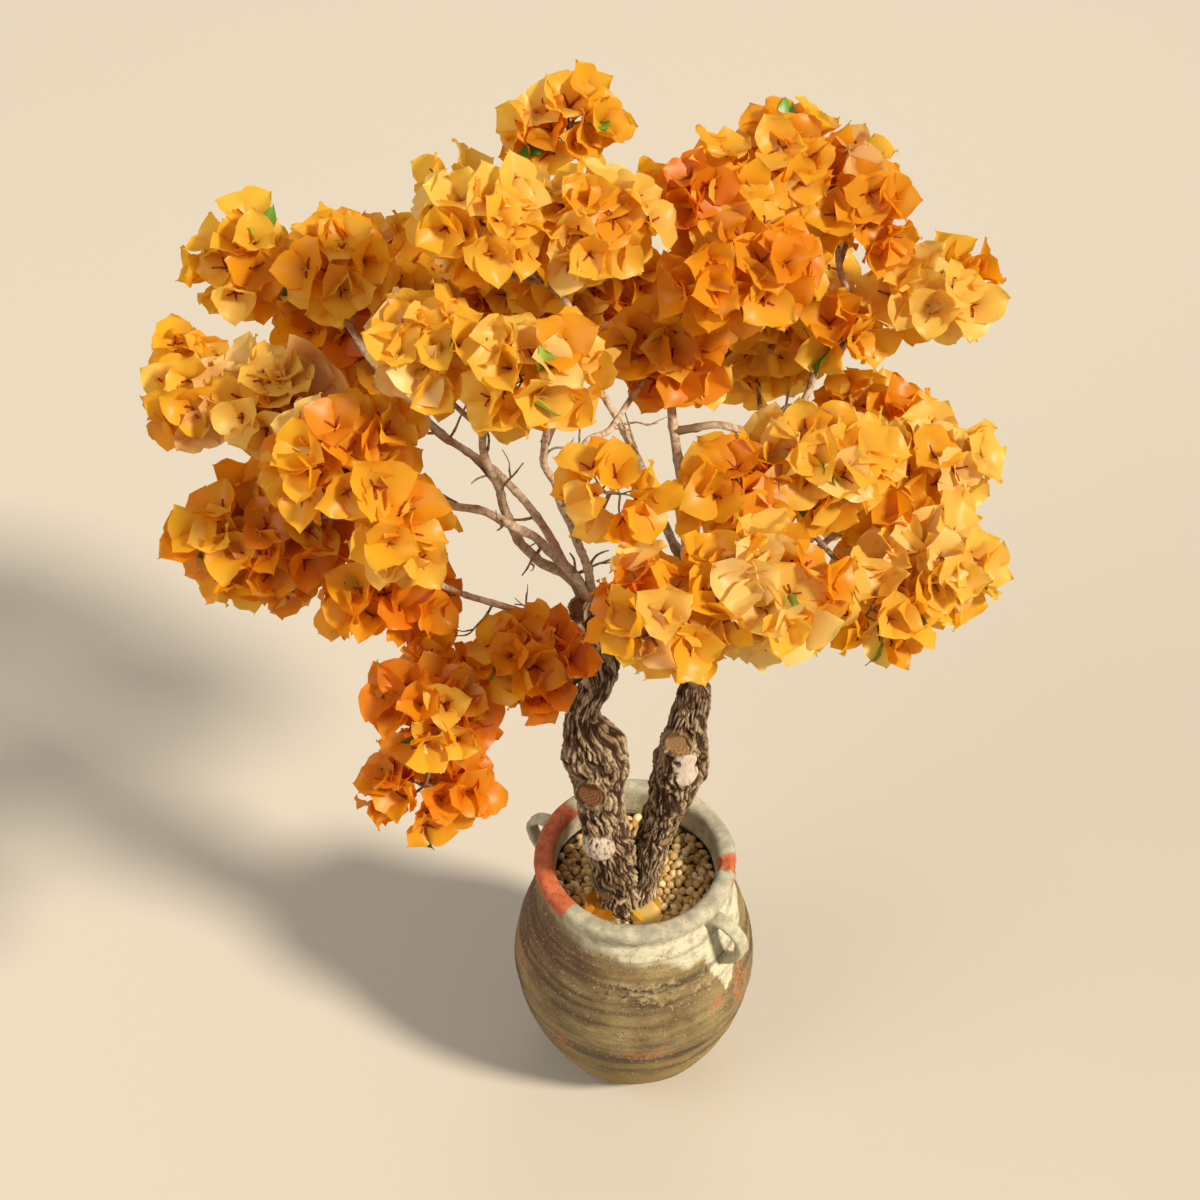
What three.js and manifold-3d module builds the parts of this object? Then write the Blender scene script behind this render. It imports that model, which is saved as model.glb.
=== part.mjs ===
import * as THREE from 'three';
import { mergeVertices } from 'three/addons/utils/BufferGeometryUtils.js';
import Module from 'manifold-3d';

// A bougainvillea bush in a stoneware jar, in millimetres with +Z up.
// The origin is the centre of the jar's flat underside, and the front of the bush faces -Y.

// Clearance between two pieces that touch
const GAP = 0.3;

// Jar
const JAR_HEIGHT = 350;
const FOOT_RADIUS = 74;
const BELLY_RADIUS = 136.5;
const BELLY_HEIGHT = 0.5 * JAR_HEIGHT;
const NECK_RADIUS = 100;
const RIM_RADIUS = 111;
const RIM_ROLL = 11;
const WALL = 12;
const FLOOR_THICKNESS = 14;
const JAR_SIDES = 28;
const JAR_FLOOR_ROUNDING = 10;
const BODY_STATIONS = 8;
const RIM_TURNS = [-50, -10, 30, 65, 90, 115, 150, 190];

// Strap lugs on the jar's shoulder, opposite each other
const LUG_BEARING = -36;
const LUG_TOP = 0.9 * JAR_HEIGHT;
const LUG_FOOT = 0.75 * JAR_HEIGHT;
const LUG_REACH = 34;
const LUG_WIDTH = 14;
const LUG_THICKNESS = 9;
const LUG_STEPS = 10;
const LUG_SIDES = 8;

// Bed of gravel that fills the jar
const SOIL_LEVEL = 305;

// Trunk: one foot that forks into two arms. Each station is x, y, z, radius.
const LEFT_ARM = [
  [-14, -22, 300, 28], [-24, -24, 358, 27], [-31, -26, 411, 25], [-38, -24, 456, 24], [-40, -20, 499, 25.5],
  [-41, -16, 528, 31], [-46, -12, 553, 33], [-53, -8, 577, 23], [-56, -6, 599, 16], [-49, -4, 620, 15],
  [-41, -2, 643, 17], [-39, 0, 671, 19], [-45, 0, 706, 17], [-48, 0, 738, 16], [-46, 0, 765, 14],
];
const RIGHT_ARM = [
  [-6, -20, 300, 25], [10, -18, 353, 19], [19, -16, 397, 18], [29, -14, 444, 20], [39, -12, 489, 25],
  [44, -10, 517, 28], [46, -10, 549, 24], [49, -10, 577, 20], [51, -10, 600, 18.5], [54, -8, 620, 16.5],
  [57, -6, 650, 15],
];
const FORK_HEIGHT = 402;
const TRUNK_SIDES = 10;
const TRUNK_STEP = 25;
const FURROW_DEPTH = 0.07;
const FURROWS = 3;
const FURROW_TWIST = 5;
const RADIUS_SAMPLES = 40;
const RADIUS_BLEND = 13;

// Boughs: the limb that each leaves, the share of that limb's length where it leaves, its course from there
// to its tip, and its radius at both ends
const BOUGHS = [
  { name: 'bough_left', from: 'trunk_left', at: 0.97, radii: [5.2, 3.2],
    course: [[-75, -15, 825], [-99, -30, 874], [-129, -45, 911], [-168, -65, 948], [-221, -75, 975]] },
  { name: 'bough_far_left', from: 'bough_left', at: 0.8, radii: [3.2, 2.8],
    course: [[-254, -20, 968], [-311, 20, 967], [-363, 45, 969]] },
  { name: 'bough_centre_left', from: 'trunk_left', at: 0.985, radii: [5.6, 3.2],
    course: [[-72, 2, 791], [-95, -8, 818], [-114, -16, 853], [-127, -20, 901], [-137, -34, 962],
      [-141, -46, 1024]] },
  { name: 'bough_upper_left', from: 'bough_centre_left', at: 0.74, radii: [3.2, 2.8],
    course: [[-182, -10, 983], [-221, 40, 990], [-272, 100, 1024], [-318, 130, 1044]] },
  { name: 'bough_middle', from: 'trunk_left', at: 0.985, radii: [4.6, 3],
    course: [[-61, -20, 860], [-74, -36, 921], [-88, -50, 984], [-85, -62, 1039], [-89, -72, 1086]] },
  { name: 'bough_top', from: 'bough_middle', at: 0.78, radii: [3.2, 2.8],
    course: [[-72, -6, 1030], [-63, 30, 1082], [-84, 50, 1130]] },
  { name: 'bough_inner', from: 'bough_middle', at: 0.5, radii: [3.1, 2.7],
    course: [[-62, -24, 960], [-50, -4, 971], [-30, 24, 958], [-12, 52, 968], [5, 72, 985]] },
  { name: 'bough_rise', from: 'trunk_right', at: 0.985, radii: [6, 3.4],
    course: [[55, 4, 729], [43, 20, 820], [36, 45, 888], [27, 85, 977], [42, 105, 1055], [48, 112, 1105]] },
  { name: 'bough_right_back', from: 'bough_rise', at: 0.6, radii: [3.6, 3],
    course: [[68, 70, 922], [117, 76, 901], [141, 86, 893], [153, 100, 924], [165, 118, 953],
      [190, 135, 964], [198, 146, 1000], [178, 155, 1066]] },
  { name: 'bough_front', from: 'trunk_right', at: 0.97, radii: [6, 3.6],
    course: [[55, -70, 767], [61, -170, 906]] },
  { name: 'bough_right', from: 'trunk_right', at: 0.97, radii: [6, 3.6],
    course: [[98, -46, 774], [128, -72, 862], [158, -80, 940]] },
  { name: 'bough_right_out', from: 'bough_right', at: 0.72, radii: [3.4, 2.8],
    course: [[190, -50, 915], [245, -30, 934]] },
  { name: 'bough_low_left', from: 'trunk_left', at: 0.9, radii: [4, 2.8],
    course: [[-84, -50, 786], [-131, -85, 841], [-182, -110, 894]] },
  { name: 'bough_low', from: 'trunk_left', at: 0.71, radii: [4.6, 3],
    course: [[-77, -60, 720], [-113, -110, 786], [-162, -150, 797], [-195, -165, 751]] },
  { name: 'bough_back_left', from: 'trunk_left', at: 0.93, radii: [4.6, 3.2],
    course: [[-100, 70, 800], [-190, 150, 832], [-262, 205, 885]] },
  { name: 'bough_back_mid', from: 'bough_rise', at: 0.3, radii: [4.6, 3.2],
    course: [[0, 110, 835], [-62, 205, 895]] },
  { name: 'bough_back_right', from: 'bough_rise', at: 0.4, radii: [4.6, 3.2],
    course: [[92, 130, 833], [150, 175, 850], [222, 165, 812]] },
];
const BOUGH_SIDES = 5;
const BOUGH_STEP = 38;
const CROOK = 0.05;
const TIP_SHARE = 0.99;

// Masses of blossom: centre, reach along X, Y and Z, the limb that carries each and where on that limb
const MASSES = [
  { name: 'crest', on: 'bough_top', at: 1, centre: [-66, 190, 1176], reach: [58, 54, 46] },
  { name: 'back_tuft', on: 'bough_top', at: 0.86, centre: [-178, 190, 1111], reach: [44, 42, 32] },
  { name: 'top_left', on: 'bough_top', at: 0.8, centre: [-135, 40, 1178], reach: [60, 58, 52] },
  { name: 'top_mid', on: 'bough_top', at: 0.92, centre: [-44, 60, 1165], reach: [62, 58, 56] },
  { name: 'crown_right', on: 'bough_rise', at: 1, centre: [53, 120, 1150], reach: [60, 60, 52] },
  { name: 'inner_right', on: 'bough_rise', at: 0.88, centre: [85, 60, 1115], reach: [76, 66, 60] },
  { name: 'peak_right', on: 'bough_right_back', at: 1, centre: [129, 170, 1150], reach: [56, 58, 52] },
  { name: 'shoulder_right', on: 'bough_right_back', at: 0.93, centre: [196, 160, 1108], reach: [50, 54, 64] },
  { name: 'far_right', on: 'bough_right_back', at: 0.62, centre: [271, 150, 1017], reach: [68, 52, 46] },
  { name: 'back_small', on: 'bough_right_back', at: 0.5, centre: [191, 130, 987], reach: [50, 46, 46] },
  { name: 'upper_left', on: 'bough_upper_left', at: 1, centre: [-368, 150, 1044], reach: [52, 58, 56] },
  { name: 'upper_left_in', on: 'bough_upper_left', at: 0.85, centre: [-276, 130, 1058], reach: [57, 58, 54] },
  { name: 'far_left', on: 'bough_far_left', at: 1, centre: [-412, 60, 977], reach: [57, 60, 49] },
  { name: 'left_mid', on: 'bough_far_left', at: 0.7, centre: [-337, 40, 977], reach: [62, 62, 58] },
  { name: 'left_front', on: 'bough_left', at: 1, centre: [-264, -70, 1006], reach: [72, 66, 60] },
  { name: 'left_low', on: 'bough_left', at: 0.95, centre: [-339, -40, 886], reach: [82, 66, 66] },
  { name: 'left_inner', on: 'bough_low_left', at: 1, centre: [-211, -110, 963], reach: [50, 54, 52] },
  { name: 'left_under', on: 'bough_low_left', at: 0.9, centre: [-230, -110, 866], reach: [74, 46, 38] },
  { name: 'mid_left', on: 'bough_centre_left', at: 1, centre: [-182, -40, 1105], reach: [58, 60, 54] },
  { name: 'mid', on: 'bough_middle', at: 1, centre: [-93, -80, 1119], reach: [62, 60, 54] },
  { name: 'centre', on: 'bough_inner', at: 1, centre: [23, 85, 998], reach: [64, 50, 60] },
  { name: 'small_mid', on: 'bough_middle', at: 0.3, centre: [-29, -140, 1040], reach: [54, 46, 50] },
  { name: 'right_in', on: 'bough_right', at: 0.85, centre: [78, -90, 992], reach: [62, 60, 52] },
  { name: 'right_mid', on: 'bough_right', at: 1, centre: [156, -50, 987], reach: [66, 64, 60] },
  { name: 'right_under', on: 'bough_right', at: 0.95, centre: [207, -150, 896], reach: [60, 50, 44] },
  { name: 'right_out', on: 'bough_right_out', at: 1, centre: [257, 0, 938], reach: [64, 62, 52] },
  { name: 'right_low', on: 'bough_right_out', at: 0.9, centre: [245, -90, 902], reach: [80, 66, 60] },
  { name: 'front_left', on: 'bough_front', at: 1, centre: [18, -220, 976], reach: [66, 58, 58] },
  { name: 'front_right', on: 'bough_front', at: 0.95, centre: [105, -210, 989], reach: [68, 60, 57] },
  { name: 'low_in', on: 'bough_low', at: 0.5, centre: [-103, -130, 810], reach: [56, 50, 64] },
  { name: 'low_mid', on: 'bough_low', at: 0.9, centre: [-188, -165, 798], reach: [62, 58, 58] },
  { name: 'low_tip', on: 'bough_low', at: 1, centre: [-205, -165, 668], reach: [67, 50, 46] },
  { name: 'back_left', on: 'bough_back_left', at: 1, centre: [-270, 218, 930], reach: [100, 88, 96] },
  { name: 'back_mid', on: 'bough_back_mid', at: 1, centre: [-82, 240, 950], reach: [98, 80, 98] },
  { name: 'back_right', on: 'bough_back_right', at: 0.55, centre: [112, 230, 940], reach: [98, 82, 98] },
  { name: 'back_far_right', on: 'bough_back_right', at: 1, centre: [240, 140, 815], reach: [80, 82, 82] },
];

// Growth of a mass
const SEED = 4711;
const STEM_RADIUS = 2.6;
const TWIG_RADIUS = 1.8;
const TWIG_ROOT = 1.1;
const KNUCKLE_RADIUS = 6.5;
const HUB_SHARE = 0.2;
const BLOSSOM_AREA = 6600;
const TRIES = 7;
const BRACT_LENGTH = 56;
const BRACT_SHARES = [1, 0.88, 0.76, 0.64];
const BRACT_WIDTH = 0.94;
const BRACT_ROOT = 3;
const BRACT_CUP = 0.14;
const BRACT_LEAN = 50;
const CLEARANCE = 0.6;
const PROBES = 8;
const STRETCH_LENGTH = 12;
const REACH_SLACK = 1.14;
const DEPTH_SPREAD = 0.25;
const LEAST_DEPTH = 0.2;
const LEAST_BLOSSOMS = 5;
const LEAST_BRACTS = 2;
const DIRECTION_JITTER = 0.3;
const DIRECTION_STRIDE = 7;
const BRACT_TO_MASS = 0.86;

const UP = new THREE.Vector3(0, 0, 1);
const wasm = await Module();
wasm.setup();

/** A seeded row of even random numbers from 0 to 1. */
function seeded(seed) {
  let state = seed;
  return () => {
    state = (state * 16807) % 2147483647;
    return state / 2147483647;
  };
}

/** A closed three.js geometry as a solid that can be joined and cut. */
function toSolid(geometry) {
  const bare = geometry.clone();
  bare.deleteAttribute('normal');
  bare.deleteAttribute('uv');
  const welded = mergeVertices(bare, 1e-3);
  const corners = [];
  for (let i = 0; i < welded.index.count; i += 3) {
    const [a, b, c] = [0, 1, 2].map((k) => welded.index.getX(i + k));
    if (a !== b && b !== c && c !== a) corners.push(a, b, c);
  }
  const vertProperties = new Float32Array(welded.attributes.position.array);
  return new wasm.Manifold(new wasm.Mesh({ numProp: 3, vertProperties, triVerts: new Uint32Array(corners) }));
}

/** A solid as a three.js geometry. */
function toGeometry(solid) {
  const mesh = solid.getMesh();
  const geometry = new THREE.BufferGeometry();
  geometry.setAttribute('position', new THREE.BufferAttribute(new Float32Array(mesh.vertProperties), 3));
  geometry.setIndex(new THREE.BufferAttribute(new Uint32Array(mesh.triVerts), 1));
  geometry.computeVertexNormals();
  return geometry;
}

/** The largest body of a solid, without loose scraps and sealed hollows. */
function largestBody(solid) {
  const bodies = solid.decompose();
  return bodies.reduce((best, body) => (body.volume() > best.volume() ? body : best));
}

/** A closed skin over rings of points, with a fan over the first and the last ring. */
function loft(rings) {
  const sides = rings[0].length;
  const points = rings.flat();
  const corners = [];
  for (let r = 0; r < rings.length - 1; r += 1) {
    for (let s = 0; s < sides; s += 1) {
      const a = r * sides + s;
      const b = r * sides + ((s + 1) % sides);
      corners.push(a, b, b + sides, a, b + sides, a + sides);
    }
  }
  const last = (rings.length - 1) * sides;
  for (let s = 1; s < sides - 1; s += 1) {
    corners.push(0, s + 1, s);
    corners.push(last, last + s, last + s + 1);
  }
  const geometry = new THREE.BufferGeometry().setFromPoints(points);
  geometry.setIndex(corners);
  return geometry;
}

/** A ring of points round a centre, across a direction. */
function ring(centre, side, rise, radius, sides) {
  return Array.from({ length: sides }, (unused, s) => {
    const angle = (2 * Math.PI * s) / sides;
    const reach = typeof radius === 'function' ? radius(angle) : radius;
    return centre.clone()
      .addScaledVector(side, reach * Math.cos(angle))
      .addScaledVector(rise, reach * Math.sin(angle));
  });
}

/** Two directions across a third one. */
function across(direction) {
  const helper = Math.abs(direction.z) < 0.9 ? UP : new THREE.Vector3(1, 0, 0);
  const side = new THREE.Vector3().crossVectors(helper, direction).normalize();
  return [side, new THREE.Vector3().crossVectors(direction, side)];
}

/** A limb's course as a curve, and its radius along it. */
function limb(name, points, radii, sides, step, furrow, dice) {
  const curve = new THREE.CatmullRomCurve3(points, false, 'centripetal');
  const phase = 2 * Math.PI * dice();
  const radiusAt = (share) => {
    const place = share * (radii.length - 1);
    const index = Math.min(Math.floor(place), radii.length - 2);
    return THREE.MathUtils.lerp(radii[index], radii[index + 1], place - index);
  };
  return { name, curve, length: curve.getLength(), radiusAt, sides, step, furrow, phase };
}

/** The solid of a limb between two shares of its length, grown by a margin. */
function limbSolid(item, start, end, margin = 0) {
  const count = Math.max(2, Math.ceil(((end - start) * item.length) / item.step));
  const frames = [];
  let side = null;
  for (let i = 0; i <= count; i += 1) {
    const share = start + ((end - start) * i) / count;
    const place = item.curve.getPointAt(share);
    const along = item.curve.getTangentAt(share);
    if (side === null) side = across(along)[0];
    side.addScaledVector(along, -side.dot(along)).normalize();
    const rise = new THREE.Vector3().crossVectors(along, side);
    if (i === 0) place.addScaledVector(along, -margin);
    if (i === count) place.addScaledVector(along, margin);
    const radius = item.radiusAt(share) + margin;
    const turn = item.phase + FURROW_TWIST * share;
    const knobbly = (angle) => radius * (1 + item.furrow * Math.cos(FURROWS * angle + turn));
    frames.push(ring(place, side, rise, knobbly, item.sides));
  }
  return toSolid(loft(frames));
}

/** A smooth run of radii from stations that aren't evenly spaced. */
function evenRadii(stations, curve) {
  const places = stations.map(([x, y, z]) => new THREE.Vector3(x, y, z));
  return Array.from({ length: RADIUS_SAMPLES + 1 }, (unused, i) => {
    const here = curve.getPointAt(i / RADIUS_SAMPLES);
    let sum = 0;
    let weight = 0;
    places.forEach((place, k) => {
      const pull = Math.exp(-((here.distanceTo(place) / RADIUS_BLEND) ** 2));
      sum += pull * stations[k][3];
      weight += pull;
    });
    return sum / weight;
  });
}

/** A trunk arm from its stations. */
function arm(name, stations, dice) {
  const points = stations.map(([x, y, z]) => new THREE.Vector3(x, y, z));
  const curve = new THREE.CatmullRomCurve3(points, false, 'centripetal');
  return limb(name, points, evenRadii(stations, curve), TRUNK_SIDES, TRUNK_STEP, FURROW_DEPTH, dice);
}

/** The share of a limb's length where it passes a height. */
function shareAtHeight(item, height) {
  let share = 0;
  while (share < 1 && item.curve.getPointAt(share).z < height) share += 0.002;
  return share;
}

/** The jar's outer wall from its foot to its neck, as points of radius and height. */
function bodyProfile(inset) {
  const stations = [
    [FOOT_RADIUS, 0],
    [0.5 * (FOOT_RADIUS + BELLY_RADIUS) + 9, 0.2 * JAR_HEIGHT],
    [BELLY_RADIUS, BELLY_HEIGHT],
    [0.5 * (BELLY_RADIUS + NECK_RADIUS) - 4, 0.79 * JAR_HEIGHT],
    [NECK_RADIUS, 0.91 * JAR_HEIGHT],
  ];
  const curve = new THREE.SplineCurve(stations.map(([r, z]) => new THREE.Vector2(r, z)));
  return curve.getPoints(BODY_STATIONS).map((point) => new THREE.Vector2(point.x - inset, point.y));
}

/** A solid turned about the Z axis from points of radius and height. */
function turned(profile, sides) {
  const lathe = new THREE.LatheGeometry(profile, sides);
  lathe.rotateX(Math.PI / 2);
  return lathe;
}

/** The rolled rim, grown by a margin, as points of radius and height from its underside over its top. */
function rimProfile(margin) {
  return RIM_TURNS.map((degrees) => {
    const angle = THREE.MathUtils.degToRad(degrees);
    const spoke = new THREE.Vector2(Math.cos(angle), Math.sin(angle));
    return new THREE.Vector2(RIM_RADIUS - RIM_ROLL, JAR_HEIGHT - RIM_ROLL)
      .addScaledVector(spoke, RIM_ROLL + margin);
  });
}

/** The jar: a thick wall with a rolled rim, open at the top. */
function jar() {
  const outer = bodyProfile(0);
  const inner = bodyProfile(WALL).filter((point) => point.y > FLOOR_THICKNESS).reverse();
  const floorRadius = inner[inner.length - 1].x - JAR_FLOOR_ROUNDING;
  return turned([
    new THREE.Vector2(0, 0),
    ...outer,
    ...rimProfile(0),
    ...inner,
    new THREE.Vector2(floorRadius, FLOOR_THICKNESS),
    new THREE.Vector2(0, FLOOR_THICKNESS),
  ], JAR_SIDES);
}

/** The bed of gravel: it fills the jar up to the soil level, just clear of the wall. */
function gravelBed() {
  const wall = bodyProfile(WALL + GAP).filter((point) => point.y > FLOOR_THICKNESS && point.y < SOIL_LEVEL);
  const floorRadius = wall[0].x - JAR_FLOOR_ROUNDING;
  const shoulder = bodyProfile(WALL + GAP).find((point) => point.y >= SOIL_LEVEL);
  const last = wall[wall.length - 1];
  const share = (SOIL_LEVEL - last.y) / (shoulder.y - last.y);
  return turned([
    new THREE.Vector2(0, FLOOR_THICKNESS + GAP),
    new THREE.Vector2(floorRadius, FLOOR_THICKNESS + GAP),
    ...wall,
    new THREE.Vector2(THREE.MathUtils.lerp(last.x, shoulder.x, share), SOIL_LEVEL),
    new THREE.Vector2(0, SOIL_LEVEL),
  ], JAR_SIDES);
}

/** A strap lug that arches out from the shoulder, cut to the jar's wall. */
function lug(bearing) {
  const angle = THREE.MathUtils.degToRad(bearing);
  const out = new THREE.Vector3(Math.cos(angle), Math.sin(angle), 0);
  const side = new THREE.Vector3(-out.y, out.x, 0);
  const place = (radius, height) => out.clone().multiplyScalar(radius).setZ(height);
  const curve = new THREE.CatmullRomCurve3([
    place(NECK_RADIUS - 4, LUG_TOP - 2),
    place(NECK_RADIUS + 0.6 * LUG_REACH, LUG_TOP),
    place(NECK_RADIUS + LUG_REACH + 12, 0.5 * (LUG_TOP + LUG_FOOT) + 4),
    place(NECK_RADIUS + 0.9 * LUG_REACH, LUG_FOOT),
    place(NECK_RADIUS + 2, LUG_FOOT - 12),
  ], false, 'centripetal');
  const rings = Array.from({ length: LUG_STEPS + 1 }, (unused, i) => {
    const along = curve.getTangentAt(i / LUG_STEPS);
    const rise = new THREE.Vector3().crossVectors(along, side);
    const oval = (turn) => 0.5 / Math.hypot(Math.cos(turn) / LUG_WIDTH, Math.sin(turn) / LUG_THICKNESS);
    return ring(curve.getPointAt(i / LUG_STEPS), side, rise, oval, LUG_SIDES);
  });
  const bottom = new THREE.Vector2(0, 0);
  const rim = rimProfile(GAP).filter((point) => point.x > RIM_RADIUS - RIM_ROLL);
  const top = new THREE.Vector2(0, JAR_HEIGHT + GAP);
  const wall = turned([bottom, ...bodyProfile(-GAP), ...rim, top], JAR_SIDES);
  return largestBody(toSolid(loft(rings)).subtract(toSolid(wall)));
}

/** A blossom: three cupped bracts of eight faces each, round the tip of the twig that bears it. */
class Blossom {
  constructor(site, axis, spin, length, bearer) {
    const lean = THREE.MathUtils.degToRad(BRACT_LEAN);
    const [side, rise] = across(axis);
    const radial = (turn) => side.clone()
      .multiplyScalar(Math.cos(turn))
      .addScaledVector(rise, Math.sin(turn));
    const turns = [0, 1, 2].map((k) => spin + (2 * Math.PI * k) / 3);
    const collar = (lift) => turns.map((turn) => site.clone()
      .addScaledVector(axis, lift)
      .addScaledVector(radial(turn), TWIG_RADIUS));
    const stalk = site.clone().sub(bearer).normalize();
    const lower = side.clone().addScaledVector(stalk, -side.dot(stalk)).normalize();
    const upper = new THREE.Vector3().crossVectors(stalk, lower);
    this.base = turns.map((turn) => bearer.clone()
      .addScaledVector(lower, TWIG_ROOT * Math.cos(turn))
      .addScaledVector(upper, TWIG_ROOT * Math.sin(turn)));
    this.under = collar(-BRACT_ROOT / 2);
    this.over = collar(BRACT_ROOT / 2);
    this.bracts = turns.map((turn) => {
      const out = radial(turn + Math.PI / 3);
      const along = axis.clone().multiplyScalar(Math.cos(lean)).addScaledVector(out, Math.sin(lean));
      const inward = axis.clone().multiplyScalar(Math.sin(lean)).addScaledVector(out, -Math.cos(lean));
      const width = new THREE.Vector3().crossVectors(axis, out);
      const at = (reach, spread, lift) => site.clone()
        .addScaledVector(along, reach * length)
        .addScaledVector(width, spread * length)
        .addScaledVector(inward, lift);
      const half = 0.5 * BRACT_WIDTH;
      return [at(0.5, -half, BRACT_CUP * length), at(1, 0, 0), at(0.5, half, BRACT_CUP * length)];
    });
  }

  /** The blossom with the bracts that are wanted, as one closed solid, with its twig or without. */
  solid(wanted, withTwig) {
    const points = [...this.over, ...this.under, ...this.base];
    const corners = [0, 1, 2];
    const bottom = withTwig ? 6 : 3;
    corners.push(bottom, bottom + 2, bottom + 1);
    for (let k = 0; k < 3; k += 1) {
      const next = (k + 1) % 3;
      const [a, b, c, d] = [k, next, 3 + next, 3 + k];
      if (wanted[k]) {
        const [left, tip, right] = [0, 1, 2].map((i) => points.length + i);
        points.push(...this.bracts[k]);
        corners.push(a, tip, b, a, left, tip, b, tip, right);
        corners.push(d, c, tip, d, tip, left, c, right, tip);
        corners.push(a, d, left, b, right, c);
      } else {
        corners.push(a, d, c, a, c, b);
      }
      if (withTwig) corners.push(d, d + 3, c + 3, d, c + 3, c);
    }
    const geometry = new THREE.BufferGeometry().setFromPoints(points);
    geometry.setIndex(corners);
    return toSolid(geometry);
  }
}

/** A three-sided twig between two points. */
function twigSolid(start, end, radius) {
  const along = end.clone().sub(start).normalize();
  const [side, rise] = across(along);
  return toSolid(loft([ring(start, side, rise, radius, 3), ring(end, side, rise, radius, 3)]));
}

/** A mass's stem and the knuckle at its hub, grown by a margin. */
function stemSolid(mass, margin) {
  const knuckle = new THREE.OctahedronGeometry(KNUCKLE_RADIUS + margin);
  knuckle.translate(mass.hub.x, mass.hub.y, mass.hub.z);
  return twigSolid(mass.foot, mass.hub, STEM_RADIUS + margin).add(toSolid(knuckle));
}

/** Directions spread evenly over a sphere. */
function evenDirections(count, turn) {
  return Array.from({ length: count }, (unused, i) => {
    const z = 1 - (2 * i + 1) / count;
    const angle = turn + i * Math.PI * (3 - Math.sqrt(5));
    const flat = Math.sqrt(1 - z * z);
    return new THREE.Vector3(flat * Math.cos(angle), flat * Math.sin(angle), z);
  });
}

/** The shortest distance between two straight stretches. */
function stretchDistance(a, b, c, d) {
  const line = new THREE.Line3(c, d);
  const probe = new THREE.Vector3();
  const nearest = new THREE.Vector3();
  let best = Infinity;
  for (let i = 0; i <= PROBES; i += 1) {
    probe.lerpVectors(a, b, i / PROBES);
    line.closestPointToPoint(probe, true, nearest);
    best = Math.min(best, probe.distanceTo(nearest));
  }
  return best;
}

/** Short straight stretches along a limb, each with its radius. */
function stretches(item) {
  const count = Math.ceil(item.length / STRETCH_LENGTH);
  return Array.from({ length: count }, (unused, i) => ({
    start: item.curve.getPointAt(i / count),
    end: item.curve.getPointAt((i + 1) / count),
    radius: item.radiusAt((i + 0.5) / count),
  }));
}

// Limbs: the two trunk arms first, then each bough from the limb that carries it
const limbDice = seeded(SEED);
const limbs = new Map();
limbs.set('trunk_left', arm('trunk_left', LEFT_ARM, limbDice));
limbs.set('trunk_right', arm('trunk_right', RIGHT_ARM, limbDice));
for (const { name, from, at, course, radii } of BOUGHS) {
  const start = limbs.get(from).curve.getPointAt(at);
  const points = [start, ...course.map(([x, y, z]) => new THREE.Vector3(x, y, z))];
  const crooked = [points[0]];
  for (let i = 1; i < points.length; i += 1) {
    const span = points[i].distanceTo(points[i - 1]);
    const middle = points[i].clone().add(points[i - 1]).multiplyScalar(0.5);
    const kick = new THREE.Vector3(limbDice() - 0.5, limbDice() - 0.5, limbDice() - 0.5);
    crooked.push(middle.addScaledVector(kick, 2 * CROOK * span), points[i]);
  }
  limbs.set(name, limb(name, crooked, radii, BOUGH_SIDES, BOUGH_STEP, 0, limbDice));
}

// Stems of the masses, from the limb to a hub inside the mass
for (const mass of MASSES) {
  mass.middle = new THREE.Vector3(...mass.centre);
  mass.size = (mass.reach[0] + mass.reach[1] + mass.reach[2]) / 3;
  mass.foot = limbs.get(mass.on).curve.getPointAt(Math.min(mass.at, TIP_SHARE));
  const back = mass.foot.clone().sub(mass.middle);
  const share = Math.min(HUB_SHARE * mass.size, 0.5 * back.length());
  mass.hub = mass.middle.clone().addScaledVector(back.normalize(), share);
}

/** Whether a point lies in a mass's own space: nearer to it than to any other, and within its reach. */
function inOwnSpace(mass, point) {
  const power = (other) => point.distanceToSquared(other.middle) - other.size ** 2;
  const own = power(mass);
  const offset = point.clone().sub(mass.middle);
  const [x, y, z] = mass.reach;
  if ((offset.x / x) ** 2 + (offset.y / y) ** 2 + (offset.z / z) ** 2 > REACH_SLACK ** 2) return false;
  return MASSES.every((other) => {
    if (other === mass) return true;
    const apart = other.middle.distanceTo(mass.middle);
    return power(other) - own > 2 * apart * CLEARANCE;
  });
}

/** Whether a straight stretch keeps clear of every limb. */
function clearOfLimbs(start, end, margin) {
  return limbStretches.every((item) => stretchDistance(start, end, item.start, item.end) > item.radius + margin);
}

/** Whether a solid meets none of the others. */
function apart(solid, others) {
  return others.every((other) => other.intersect(solid).isEmpty());
}

/** The place for a blossom in a mass, so that its bracts end at the mass's skin, or somewhat deeper. */
function blossomSite(mass, outward, length, deeper) {
  const [x, y, z] = mass.reach;
  const edge = REACH_SLACK * new THREE.Vector3(outward.x * x, outward.y * y, outward.z * z).length();
  const lean = THREE.MathUtils.degToRad(BRACT_LEAN);
  const level = Math.sqrt(Math.max(edge ** 2 - (length * Math.sin(lean)) ** 2, 0));
  const depth = Math.max(LEAST_DEPTH * edge, level - length * Math.cos(lean));
  return mass.middle.clone().addScaledVector(outward, depth * (1 - deeper));
}

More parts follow.
